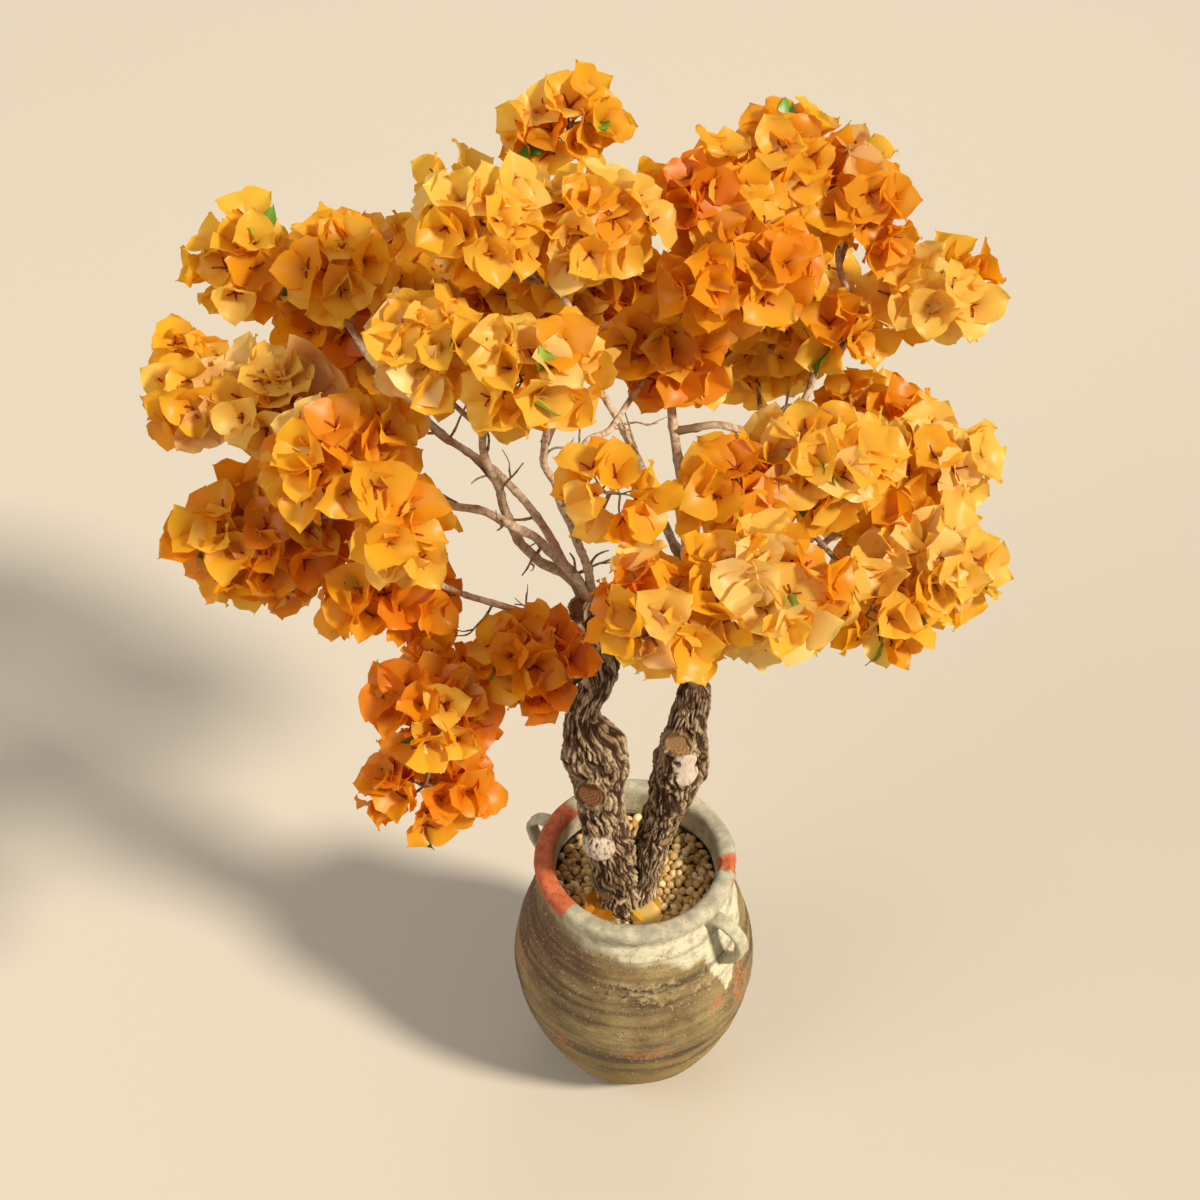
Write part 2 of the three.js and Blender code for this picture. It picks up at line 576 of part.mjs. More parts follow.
/** One mass of blossom as a solid: its stem, twigs and bracts, fused. */
function growMass(mass, index) {
  const dice = seeded(SEED + 31 * (index + 1));
  const quota = Math.max(LEAST_BLOSSOMS, Math.round((4 * Math.PI * mass.size ** 2) / BLOSSOM_AREA));
  const tries = evenDirections(TRIES * quota + 1, 2 * Math.PI * dice());
  const heads = [];
  const twigs = [twigSolid(mass.foot, mass.hub, STEM_RADIUS)];
  const parts = [stemSolid(mass, 0)];
  const strange = MASSES.filter((other) => other !== mass).map((other) => stemSolid(other, 2 * GAP));
  for (let i = 0; i < BRACT_SHARES.length * tries.length && heads.length < quota; i += 1) {
    const share = BRACT_SHARES[Math.floor(i / tries.length)];
    const length = share * Math.min(BRACT_LENGTH, BRACT_TO_MASS * mass.size);
    const jitter = new THREE.Vector3(dice() - 0.5, dice() - 0.5, dice() - 0.5);
    const spin = 2 * Math.PI * dice();
    const outward = tries[(i * DIRECTION_STRIDE) % tries.length].clone()
      .addScaledVector(jitter, DIRECTION_JITTER)
      .normalize();
    const site = blossomSite(mass, outward, length, DEPTH_SPREAD * dice());
    if (site.distanceTo(mass.hub) < 2 * KNUCKLE_RADIUS) continue;
    if (!inOwnSpace(mass, site) || !clearOfLimbs(mass.hub, site, TWIG_RADIUS)) continue;
    const twig = twigSolid(mass.hub, site, TWIG_RADIUS);
    const blossom = new Blossom(site, outward, spin, length, mass.hub);
    const bare = blossom.solid([false, false, false], false);
    if (!apart(twig, [...heads, ...strange]) || !apart(bare, [...heads, ...strange])) continue;
    const wanted = blossom.bracts.map((edge, k) => edge.every((point) => inOwnSpace(mass, point))
      && clearOfLimbs(site, edge[1], 2 * CLEARANCE)
      && clearOfLimbs(edge[0], edge[2], 2 * CLEARANCE)
      && apart(blossom.solid([0, 1, 2].map((n) => n === k), false), [...heads, ...twigs, ...strange]));
    if (wanted.filter(Boolean).length < LEAST_BRACTS) continue;
    heads.push(blossom.solid(wanted, false));
    twigs.push(twig);
    parts.push(blossom.solid(wanted, true));
  }
  return wasm.Manifold.union(parts);
}

// Colours from the plant and the jar
const COLOURS = {
  stoneware: 0x8f8468,
  clay: 0xd9cfae,
  gravel: 0xb98a4a,
  bark: 0x7a6650,
  bough: 0x9a8169,
  bract: 0xf2a23a,
};

const bush = new THREE.Group();

/** Adds one named piece to the bush. */
function add(name, geometry, color, roughness) {
  const mesh = new THREE.Mesh(geometry, new THREE.MeshStandardMaterial({ color, roughness, metalness: 0 }));
  mesh.name = name;
  bush.add(mesh);
}

add('jar', jar(), COLOURS.stoneware, 0.85);
add('lug_right', toGeometry(lug(LUG_BEARING)), COLOURS.clay, 0.85);
add('lug_left', toGeometry(lug(LUG_BEARING + 180)), COLOURS.clay, 0.85);
add('gravel_bed', gravelBed(), COLOURS.gravel, 0.95);

// Trunk: the foot joins the lower stretches of both arms, and is cut flat at the soil
const grown = [];
const left = limbs.get('trunk_left');
const right = limbs.get('trunk_right');
const leftFork = shareAtHeight(left, FORK_HEIGHT);
const rightFork = shareAtHeight(right, FORK_HEIGHT);
const ground = new THREE.BoxGeometry(400, 400, 100);
ground.translate(0, 0, SOIL_LEVEL + GAP - 50);
const foot = limbSolid(left, 0, leftFork).add(limbSolid(right, 0, rightFork)).subtract(toSolid(ground));
add('trunk_foot', toGeometry(largestBody(foot)), COLOURS.bark, 0.9);
for (const [item, fork] of [[left, leftFork], [right, rightFork]]) {
  const start = fork + GAP / item.length;
  add(item.name, toGeometry(limbSolid(item, start, 1)), COLOURS.bark, 0.9);
  grown.push(limbSolid(item, start, 1, GAP));
}

// Boughs: each is cut clear of the limbs before it
for (const { name } of BOUGHS) {
  const item = limbs.get(name);
  let solid = limbSolid(item, 0, 1);
  for (const other of grown) solid = solid.subtract(other);
  add(name, toGeometry(largestBody(solid)), COLOURS.bough, 0.85);
  grown.push(limbSolid(item, 0, 1, GAP));
}

// Masses: each is cut clear of the limbs where its stem starts
const limbStretches = [...limbs.values()].flatMap(stretches);
MASSES.forEach((mass, index) => {
  let solid = growMass(mass, index);
  for (const other of grown) solid = solid.subtract(other);
  add(`mass_${mass.name}`, toGeometry(largestBody(solid)), COLOURS.bract, 0.6);
});

export default bush;
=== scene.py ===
"""A bougainvillea bush in a stoneware jar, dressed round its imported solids.

Sizes are in millimetres with +Z up and the front towards -Y. They turn to metres where a mesh is made.
"""

import logging
import math
from dataclasses import dataclass, field
from enum import Enum
from itertools import product

import bmesh
import bpy
import numpy as np
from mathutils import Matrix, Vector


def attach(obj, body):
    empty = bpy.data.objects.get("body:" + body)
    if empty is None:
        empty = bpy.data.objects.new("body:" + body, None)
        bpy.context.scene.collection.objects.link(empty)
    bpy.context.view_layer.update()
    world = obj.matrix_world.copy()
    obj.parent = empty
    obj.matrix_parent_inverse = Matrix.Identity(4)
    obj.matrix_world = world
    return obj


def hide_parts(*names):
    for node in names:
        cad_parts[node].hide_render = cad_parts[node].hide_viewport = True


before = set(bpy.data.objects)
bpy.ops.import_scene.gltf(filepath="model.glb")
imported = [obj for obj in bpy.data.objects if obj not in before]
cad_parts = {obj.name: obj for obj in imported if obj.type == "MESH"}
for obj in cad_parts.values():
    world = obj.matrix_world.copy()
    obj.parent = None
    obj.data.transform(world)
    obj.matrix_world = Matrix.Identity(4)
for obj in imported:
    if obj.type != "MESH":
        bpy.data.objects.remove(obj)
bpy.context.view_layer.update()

Array = np.ndarray
Colour = tuple[float, float, float, float]
Socket = bpy.types.NodeSocket
MM = 0.001
ROOT = "root"
log = logging.getLogger("bush")


class Slot(Enum):
    """Material slots that the record names."""

    STONEWARE = "stoneware"
    SLIP = "slip_clay"
    GRAVEL = "gravel"
    BARK = "bark"
    BOUGH = "bough_bark"
    BLOSSOM = "blossom"


def tint(code: str) -> Colour:
    """A colour from six hexadecimal digits, as Blender's shaders take it.

    Args:
        code: Red, green and blue, two digits each.

    Returns:
        The colour in linear light, with full alpha.
    """
    parts = [int(code[i:i + 2], 16) / 255 for i in (0, 2, 4)]
    red, green, blue = (c / 12.92 if c <= 0.04045 else ((c + 0.055) / 1.055) ** 2.4 for c in parts)
    return red, green, blue, 1.0


def unit(vectors: Array) -> Array:
    """Vectors scaled to length one."""
    return vectors / np.maximum(np.linalg.norm(vectors, axis=-1, keepdims=True), 1e-9)


def step_up(values: Array, low: float, high: float) -> Array:
    """A smooth step from 0 at the low value to 1 at the high one.

    Args:
        values: The values to map.
        low: Where the step starts.
        high: Where it ends.

    Returns:
        Numbers from 0 to 1.
    """
    share = np.clip((values - low) / (high - low), 0, 1)
    return share * share * (3 - 2 * share)


def bump_at(values: Array, middle: float, width: float) -> Array:
    """A bell of height 1 round a middle value."""
    return np.exp(-((values - middle) / width) ** 2)


def circle(count: int) -> Array:
    """Angles spread evenly round a circle, in radians."""
    return np.linspace(0, 2 * math.pi, count, endpoint=False)


def spokes(side: Array, rise: Array, turn: Array) -> Array:
    """Directions round each place on a line.

    Args:
        side: The side at each place.
        rise: The rise at each place.
        turn: Angles from the side towards the rise.

    Returns:
        A row of directions for each place.
    """
    return side[:, None] * np.cos(turn)[:, None] + rise[:, None] * np.sin(turn)[:, None]


def between(first: Array, second: Array, rise: Array, fall: Array, share: Array) -> Array:
    """Points of a smooth span from one place to another.

    Args:
        first: Where it starts.
        second: Where it ends.
        rise: Its slope at the start.
        fall: Its slope at the end.
        share: How far along it, from 0 to 1.

    Returns:
        One point for each share.
    """
    swing = (3 * (second - first) - 2 * rise - fall) * share ** 2
    return first + rise * share + swing + (2 * (first - second) + rise + fall) * share ** 3


def across(direction: Array) -> tuple[Array, Array]:
    """Two directions across a third one, found as the solids' source finds them.

    Args:
        direction: A unit vector.

    Returns:
        The side and the rise, both unit vectors.
    """
    helper = np.array([0.0, 0.0, 1.0]) if abs(direction[2]) < 0.9 else np.array([1.0, 0.0, 0.0])
    side = unit(np.cross(helper, direction))
    return side, np.cross(direction, side)


class Dice:
    """The seeded row of even numbers that the solids grow by."""

    FACTOR = 16807
    MODULUS = 2147483647

    def __init__(self, seed: int) -> None:
        """Starts the row at its seed."""
        self.state = seed

    def roll(self) -> float:
        """The next number from 0 to 1."""
        self.state = self.state * self.FACTOR % self.MODULUS
        return self.state / self.MODULUS

    def kick(self) -> Array:
        """Three numbers from -0.5 to 0.5."""
        return np.array([self.roll() - 0.5 for _ in range(3)])


class Grain:
    """Smooth noise in space, from a seeded lattice of slopes."""

    CELLS = 256
    GAIN = 0.5
    SHIFT = 17.3

    def __init__(self, seed: int) -> None:
        """Lays out the lattice from its seed."""
        rng = np.random.default_rng(seed)
        self.order = rng.permutation(self.CELLS)
        self.slopes = unit(rng.normal(size=(self.CELLS, 3)))

    def smooth(self, points: Array) -> Array:
        """Noise of one scale.

        Args:
            points: Places in lattice units, in rows of three.

        Returns:
            One value for each point, from about -0.7 to 0.7.
        """
        cell = np.floor(points).astype(int)
        inside = points - cell
        fade = inside ** 3 * (inside * (inside * 6 - 15) + 10)
        total = np.zeros(len(points))
        for corner in product((0, 1), repeat=3):
            key = np.zeros(len(points), int)
            for axis in range(3):
                key = self.order[(key + cell[:, axis] + corner[axis]) % self.CELLS]
            weight = np.prod(np.where(corner, fade, 1 - fade), axis=1)
            total += weight * np.sum((inside - corner) * self.slopes[key], axis=1)
        return total

    def layered(self, points: Array, octaves: int) -> Array:
        """Noise of several scales, each twice as fine and half as strong as the one before.

        Args:
            points: Places in units of the coarsest scale.
            octaves: How many scales.

        Returns:
            One value for each point, from about -1 to 1.
        """
        return sum(self.GAIN ** k * self.smooth(points * 2 ** k + self.SHIFT * k) for k in range(octaves))

    def cracks(self, points: Array, width: float) -> Array:
        """Thin winding lines where the noise passes zero.

        Args:
            points: Places in lattice units.
            width: Half width of a line, in noise values.

        Returns:
            1 on the lines and 0 away from them.
        """
        return 1 - step_up(np.abs(self.smooth(points)), 0.15 * width, width)


GRAIN = Grain(11)


class Course:
    """A smooth line through given points that is measured by its length, as the solids' curves are."""

    DIVISIONS = 200

    def __init__(self, points: Array) -> None:
        """Measures the line that passes the given points."""
        self.points = np.asarray(points, float)
        table = self.plain(np.linspace(0, 1, self.DIVISIONS + 1))
        spans = np.linalg.norm(np.diff(table, axis=0), axis=1)
        self.lengths = np.concatenate([[0.0], np.cumsum(spans)])
        self.length = float(self.lengths[-1])

    def plain(self, shares: Array) -> Array:
        """Points by the curve's own parameter (centripetal Catmull-Rom).

        Args:
            shares: Parameters from 0 to 1.

        Returns:
            One point for each.
        """
        given = self.points
        last = len(given) - 1
        place = shares * last
        index = np.minimum(np.floor(place).astype(int), last - 1)
        held = np.vstack([2 * given[0] - given[1], given, 2 * given[-1] - given[-2]])
        a, b, c, d = (held[index + k] for k in range(4))
        gap = [np.sum((q - p) ** 2, axis=1, keepdims=True) ** 0.25 for p, q in ((a, b), (b, c), (c, d))]
        mid = np.maximum(gap[1], 1e-4)
        rise = ((b - a) / gap[0] - (c - a) / (gap[0] + mid) + (c - b) / mid) * mid
        fall = ((c - b) / mid - (d - b) / (mid + gap[2]) + (d - c) / gap[2]) * mid
        return between(b, c, rise, fall, (place - index)[:, None])

    def at(self, shares: Array | float) -> Array:
        """Points by share of the line's length."""
        goals = np.atleast_1d(shares) * self.length
        return self.plain(np.interp(goals, self.lengths, np.linspace(0, 1, self.DIVISIONS + 1)))

    def tangents(self, shares: Array) -> Array:
        """Unit directions along the line, by share of its length."""
        return unit(self.at(np.minimum(shares + 1e-4, 1)) - self.at(np.maximum(shares - 1e-4, 0)))


def carried(along: Array) -> tuple[Array, Array]:
    """A side and a rise for each place on a line, carried along it without twist.

    Args:
        along: Unit directions, in order.

    Returns:
        The sides and the rises, one row for each place.
    """
    sides = np.zeros_like(along)
    side = across(along[0])[0]
    for i, direction in enumerate(along):
        side = unit(side - side.dot(direction) * direction)
        sides[i] = side
    return sides, np.cross(along, sides)


def grid_faces(rows: int, columns: int, closed: bool) -> Array:
    """Faces of four corners over a grid of points.

    Args:
        rows: Rows of points.
        columns: Points in each row.
        closed: Whether each row's end meets its start.

    Returns:
        The corners' indices, four in a row.
    """
    spans = columns if closed else columns - 1
    r, s = np.meshgrid(np.arange(rows - 1), np.arange(spans), indexing="ij")
    a = (r * columns + s).ravel()
    b = (r * columns + (s + 1) % columns).ravel()
    return np.stack([a, b, b + columns, a + columns], axis=1)


class Skin:
    """Points, faces and values of one piece, gathered part by part."""

    def __init__(self) -> None:
        """Starts empty."""
        self.points: list[Array] = []
        self.faces: list[Array] = []
        self.finishes: list[Array] = []
        self.values: dict[str, list[Array]] = {}
        self.count = 0

    def add(self, points: Array, faces: Array, finish: int = 0, **values: Array | float) -> None:
        """Adds one part.

        Args:
            points: Its points, in rows of three.
            faces: Corners' indices into its own points.
            finish: Index of its finish.
            **values: Named values, one for each point or one for all.
        """
        self.points.append(points)
        self.faces.append(faces + self.count)
        self.finishes.append(np.full(len(faces), finish))
        for name, value in values.items():
            self.values.setdefault(name, []).append(np.broadcast_to(value, len(points)))
        self.count += len(points)

    def tube(self, centres: Array, radii: Array, sides: int, finish: int = 0) -> None:
        """Adds a round twig along a line of centres.

        Args:
            centres: Points of the line.
            radii: The radius at each.
            sides: Points round each ring.
            finish: Index of its finish.
        """
        side, rise = carried(unit(np.gradient(centres, axis=0)))
        rings = centres[:, None] + spokes(side, rise, circle(sides)) * radii[:, None, None]
        aged = {"age": 0.0} if "age" in self.values else {}
        self.add(rings.reshape(-1, 3), grid_faces(len(centres), sides, True), finish, **aged)

    def triangles(self) -> int:
        """How many triangles its faces make."""
        return sum(len(faces) * (faces.shape[1] - 2) for faces in self.faces)

    def piece(self, name: str, finishes: list, slot: Slot, stands_for: list[str]) -> None:
        """Makes the Blender object, smooth shaded, and fixes it to the frame.

        Args:
            name: The piece's name.
            finishes: Finishes in the order of their indices.
            slot: The record's slot, which is not used.
            stands_for: Names of the solids that it replaces.
        """
        mesh = bpy.data.meshes.new(name)
        points = np.concatenate(self.points) * MM
        mesh.vertices.add(len(points))
        mesh.vertices.foreach_set("co", points.astype(np.float32).ravel())
        corners = np.concatenate([faces.ravel() for faces in self.faces])
        totals = np.concatenate([np.full(len(faces), faces.shape[1]) for faces in self.faces])
        mesh.loops.add(len(corners))
        mesh.loops.foreach_set("vertex_index", corners.astype(np.int32))
        mesh.polygons.add(len(totals))
        mesh.polygons.foreach_set("loop_start", (np.cumsum(totals) - totals).astype(np.int32))
        mesh.polygons.foreach_set("material_index", np.concatenate(self.finishes).astype(np.int32))
        mesh.polygons.foreach_set("use_smooth", np.ones(len(totals), bool))
        for key, parts in self.values.items():
            attribute = mesh.attributes.new(key, "FLOAT", "POINT")
            attribute.data.foreach_set("value", np.concatenate(parts).astype(np.float32))
        mesh.update(calc_edges=True)
        for finish in finishes:
            mesh.materials.append(finish.material())
        made = bpy.data.objects.new(name, mesh)
        bpy.context.scene.collection.objects.link(made)
        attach(made, ROOT)
        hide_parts(*stands_for)
        log.info("%s: %d triangles", name, self.triangles())


class Shader:
    """Wires the nodes of one material."""

    def __init__(self, name: str) -> None:
        """Starts a bare material of that name."""
        self.material = bpy.data.materials.new(name)
        self.material.use_nodes = True
        self.tree = self.material.node_tree
        self.tree.nodes.clear()

    def node(self, kind: str, inputs: dict, **settings: object) -> bpy.types.Node:
        """Adds a node.

        Args:
            kind: Its type, without the leading ShaderNode.
            inputs: A plain value or another node's output for each named input.
            **settings: Properties to set before the inputs.

        Returns:
            The node.
        """
        made = self.tree.nodes.new("ShaderNode" + kind)
        for name, value in settings.items():
            setattr(made, name, value)
        for key, value in inputs.items():
            if isinstance(value, Socket):
                self.tree.links.new(value, made.inputs[key])
            else:
                made.inputs[key].default_value = value
        return made

    def place(self, stretch: tuple[float, float, float] = (1, 1, 1)) -> Socket:
        """Object coordinates in metres, stretched along each axis."""
        where = self.node("TexCoord", {}).outputs["Object"]
        return self.node("Mapping", {"Vector": where, "Scale": stretch}).outputs[0]

    def noise(self, scale: float, detail: float = 3, place: Socket | None = None) -> Socket:
        """Noise from 0 to 1.

        Args:
            scale: Waves to a metre.
            detail: Finer layers.
            place: Coordinates, or the object's own.

        Returns:
            The noise's value.
        """
        inputs = {"Vector": place or self.place(), "Scale": scale, "Detail": detail, "Roughness": 0.6}
        return self.node("TexNoise", inputs).outputs["Fac"]

    def value(self, name: str) -> Socket:
        """A value that the mesh carries."""
        return self.node("Attribute", {}, attribute_name=name).outputs["Fac"]

    def ramp(self, factor: Socket, stops: list[tuple[float, Colour]]) -> Socket:
        """Colours along a value.

        Args:
            factor: The value.
            stops: Places from 0 to 1 with their colours.

        Returns:
            The colour.
        """
        made = self.node("ValToRGB", {"Fac": factor})
        band = made.color_ramp
        while len(band.elements) < len(stops):
            band.elements.new(1.0)
        for element, (place, colour) in zip(band.elements, stops):
            element.position = place
            element.color = colour
        return made.outputs["Color"]

    def pick(self, factor: Socket, low: float, high: float) -> Socket:
        """A value stretched so that low gives 0 and high gives 1, and held there."""
        inputs = {"Value": factor, "From Min": low, "From Max": high}
        return self.node("MapRange", inputs, interpolation_type="SMOOTHSTEP").outputs[0]

    def math(self, work: str, first: Socket | float, second: Socket | float) -> Socket:
        """A sum, product or other work on two values."""
        return self.node("Math", {0: first, 1: second}, operation=work).outputs[0]

    def times(self, first: Socket, second: Socket | float) -> Socket:
        """The product of two values."""
        return self.math("MULTIPLY", first, second)

    def blend(self, factor: Socket, first: Socket | Colour, second: Socket | Colour,
              work: str = "MIX") -> Socket:
        """Two colours mixed by a factor.

        Args:
            factor: Share of the second colour.
            first: The first colour.
            second: The second colour.
            work: How they mix.

        Returns:
            The mixed colour.
        """
        inputs = {0: factor, 6: first, 7: second}
        return self.node("Mix", inputs, data_type="RGBA", blend_type=work).outputs[2]

    def bump(self, height: Socket, distance: float) -> Socket:
        """The bent normal of a fine relief, from heights of 0 to 1 and the full height in millimetres."""
        return self.node("Bump", {"Height": height, "Distance": distance * MM, "Strength": 1.0}).outputs[0]

    def close(self, inputs: dict) -> bpy.types.Material:
        """Ends the material with one Principled surface of the given inputs."""
        shine = self.node("BsdfPrincipled", inputs)
        self.node("OutputMaterial", {"Surface": shine.outputs[0]})
        return self.material


@dataclass(frozen=True)
class Stoneware:
    """Unglazed stoneware with throwing bands, slip, bare clay, a rough crust and a line of painted shade
    under the rim's lip.
    """

    name: str = "stoneware"
    body: Colour = tint("8a744a")
    brown: Colour = tint("644c2e")
    pale: Colour = tint("a68f60")
    dark: Colour = tint("3c3222")
    olive: Colour = tint("8e763a")
    plum: Colour = tint("55321f")
    rust: Colour = tint("ae6c42")
    slip: Colour = tint("cfc6a8")
    stain: Colour = tint("968b6a")
    rim: Colour = tint("8e8a74")
    clay: Colour = tint("c4673a")
    crust: Colour = tint("a8946a")
    pit: Colour = tint("33261a")

    def material(self) -> bpy.types.Material:
        """Makes the jar's material.

        Returns:
            The material.
        """
        s = Shader(self.name)
        clouds, flecks, fine = s.noise(22, 5), s.noise(520, 2), s.noise(1300, 2)
        grains = s.pick(s.noise(230, 2), 0.58, 0.66)
        rubbed = s.noise(95, 5)
        base = s.ramp(clouds, [(0.3, self.brown), (0.5, self.body), (0.72, self.pale)])
        # The band value darkens the throwing bands and also paints the line of shade under the rim's lip.
        base = s.blend(s.times(s.value("band"), 0.8), base, self.dark)
        base = s.blend(s.value("olive"), base, self.olive)
        base = s.blend(s.value("plum"), base, self.plum)
        base = s.blend(s.times(s.value("crust"), 0.7), base, self.crust)
        base = s.blend(s.times(grains, 0.75), base, self.crust)
        specks = s.times(s.value("fleck"), s.pick(s.noise(170, 4), 0.47, 0.56))
        base = s.blend(specks, base, self.rust)
        slip = s.blend(s.times(s.pick(rubbed, 0.42, 0.7), 0.7), self.slip, self.stain)
        slip = s.blend(s.value("rim"), slip, self.rim)
        # On the slip as well, band darkens the throwing bands and paints the shade line under the rim's lip.
        slip = s.blend(s.times(s.value("band"), 0.6), slip, self.dark)
        base = s.blend(s.value("slip"), base, slip)
        clay = s.blend(s.pick(s.noise(60, 3), 0.35, 0.75), self.clay, tint("a4502c"))
        base = s.blend(s.value("clay"), base, clay)
        base = s.blend(s.times(s.pick(s.noise(360, 2), 0.66, 0.7), 0.9), base, self.pit)
        grainy = s.times(grains, s.math("SUBTRACT", 1.0, s.value("slip")))
        relief = s.math("ADD", s.times(flecks, 0.5), s.times(fine, 0.3))
        relief = s.math("ADD", relief, grainy)
        rough = s.math("ADD", s.times(clouds, 0.25), 0.6)
        return s.close({"Base Color": base, "Roughness": rough, "Specular IOR Level": 0.35,
                        "Normal": s.bump(relief, 1.0)})


@dataclass(frozen=True)
class Pebbles:
    """Small ochre pebbles, each with its own tone."""

    name: str = "gravel"

    def material(self) -> bpy.types.Material:
        """Makes the gravel's material.

        Returns:
            The material.
        """
        s = Shader(self.name)
        tones = [(0.0, tint("3a2810")), (0.12, tint("947038")), (0.4, tint("bc9652")), (0.65, tint("d4b476")),
                 (0.85, tint("e6d0a2")), (1.0, tint("f2e4c4"))]
        base = s.ramp(s.value("tone"), tones)
        veins = s.noise(380, 4)
        base = s.blend(s.times(s.pick(veins, 0.5, 0.75), 0.4), base, tint("86602e"))
        return s.close({"Base Color": base, "Roughness": 0.78, "Normal": s.bump(s.noise(900, 3), 0.5)})


@dataclass(frozen=True)
class Bark:
    """Corky bark: painted highlight on the ridges, painted shade in the fissures, pruned cuts and worn wood.
    """

    name: str = "bark"
    deep: Colour = tint("24160c")
    flank: Colour = tint("4a3320")
    ridge: Colour = tint("846a4c")
    crest: Colour = tint("c0ab88")
    warm: Colour = tint("96683e")
    bare: Colour = tint("cbb9a4")
    cut_dark: Colour = tint("6b3c1c")
    cut_pale: Colour = tint("b48c5e")

    def material(self) -> bpy.types.Material:
        """Makes the trunk's material.

        Returns:
            The material.
        """
        s = Shader(self.name)
        # The colour follows the relief's height: near black deep in the fissures as painted shade, pale on
        # the crests as painted highlight.
        ridge = s.value("ridge")
        fibres = s.noise(520, 4, s.place((1, 1, 0.25)))
        height = s.math("ADD", ridge, s.times(s.math("SUBTRACT", fibres, 0.5), 0.5))
        base = s.ramp(height, [(0.0, self.deep), (0.3, self.flank), (0.62, self.ridge), (1.0, self.crest)])
        warm = s.times(s.pick(s.noise(26, 3), 0.45, 0.62), 0.55)
        base = s.blend(warm, base, self.warm, "MULTIPLY")
        worn = s.blend(s.pick(s.noise(240, 4, s.place((1, 1, 0.3))), 0.45, 0.72), self.bare, tint("9a8a74"))
        base = s.blend(s.value("bare"), base, worn)
        cut = s.blend(s.value("tone"), self.cut_dark, self.cut_pale)
        base = s.blend(s.value("cut"), base, cut)
        relief = s.math("ADD", fibres, s.times(s.noise(1500, 2), 0.4))
        return s.close({"Base Color": base, "Roughness": 0.88, "Specular IOR Level": 0.25,
                        "Normal": s.bump(relief, 0.9)})


@dataclass(frozen=True)
class TwigBark:
    """Smoother bark of boughs and twigs."""

    name: str
    pale: Colour
    dark: Colour
    roughness: float = 0.8

    def material(self) -> bpy.types.Material:
        """Makes the twig's material.

        Returns:
            The material.
        """
        s = Shader(self.name)
        streaks = s.noise(190, 5)
        flecks = s.noise(700, 3)
        base = s.blend(s.pick(streaks, 0.4, 0.68), self.pale, self.dark)
        base = s.blend(s.value("age"), base, tint("6a4c32"))
        base = s.blend(s.times(s.pick(flecks, 0.6, 0.7), 0.6), base, tint("4a3422"))
        return s.close({"Base Color": base, "Roughness": self.roughness, "Specular IOR Level": 0.3,
                        "Normal": s.bump(streaks, 0.8)})


@dataclass(frozen=True)
class Petal:
    """A papery bract that lets light through."""

    name: str
    colour: Colour
    glow: Colour
    passed: float = 0.56
    roughness: float = 0.38
    specular: float = 0.4

    def material(self) -> bpy.types.Material:
        """Makes the bract's material: a matt sheet mixed with the light that passes through it.

        Returns:
            The material.
        """
        s = Shader(self.name)
        face = s.node("BsdfPrincipled", {"Base Color": self.colour, "Roughness": self.roughness,
                                         "Specular IOR Level": self.specular})
        back = s.node("BsdfTranslucent", {"Color": self.glow})
        both = s.node("MixShader", {0: self.passed, 1: face.outputs[0], 2: back.outputs[0]})
        s.node("OutputMaterial", {"Surface": both.outputs[0]})
        return s.material


@dataclass(frozen=True)
class Plain:
    """A leaf's or a bud's skin."""

    name: str
    colour: Colour
    roughness: float

    def material(self) -> bpy.types.Material:
        """Makes the skin's material."""
        s = Shader(self.name)
        return s.close({"Base Color": self.colour, "Roughness": self.roughness, "Specular IOR Level": 0.4,
                        "Coat Weight": 0.1, "Coat Roughness": 0.35})


@dataclass
class Turned:
    """The points of the jar's skin, with what its relief and its finish both read.

    Each field has one value or one row for each point. Bearings are in degrees from +X.
    """

    place: Array
    out: Array
    bearing: Array
    radius: Array
    height: Array
    worked: Array
    outside: Array
    wander: Array
    edge: Array
    level: Array
    ringed: Array

    def patches(self, spots: tuple, rough: float) -> Array:
        """Patches with ragged edges on the outside.

        Args:
            spots: For each its bearing, its height, its half width in degrees and its half height.
            rough: How ragged the edges are.

        Returns:
            1 inside a patch and 0 elsewhere.
        """
        total = np.zeros(len(self.height))
        for bearing, height, wide, tall in spots:
            off = (self.bearing - bearing + 180) % 360 - 180
            far = np.hypot(off / wide, (self.height - height) / tall) + rough * self.edge
            total += (1 - step_up(far, 0.75, 1.1)) * self.outside
        return np.clip(total, 0, 1)


# Patches on the jar: bearing, height, half width in degrees and half height.
CRUSTS = ((-82, 256, 29, 13), (-55, 247, 9, 7))
CHIPS = ((-5, 345, 7, 9), (-17, 341, 3.5, 5), (62, 341, 3, 4), (118, 340, 4, 5))
FLECKS = (
    (-126, 146, 8, 14), (-132, 166, 6, 9), (-84, 158, 12, 11), (-165, 205, 9, 14), (-29, 196, 6, 40),
    (-34, 236, 5, 26), (40, 150, 8, 12), (100, 190, 12, 14), (150, 120, 7, 12), (-24, 278, 6, 12),
    (-70, 120, 9, 7), (-48, 205, 6, 9),
)
# Where the slip ends below: bearing and height. How soft that end is: bearing and half height.
SLIP_ENDS = (
    (-180, 320), (-150, 316), (-108, 304), (-100, 298), (-76, 294), (-50, 272), (-44, 238), (-39, 212),
    (-33, 230), (-24, 260), (10, 280), (60, 296), (110, 300), (180, 320),
)
SLIP_SOFTNESS = ((-180, 13), (-110, 11), (-62, 6), (-46, 1.5), (-30, 1.5), (0, 6), (60, 10), (180, 13))
# Dark bands: height and half height.
BANDS = ((262, 7), (236, 9), (208, 10), (176, 6), (146, 8), (112, 5))


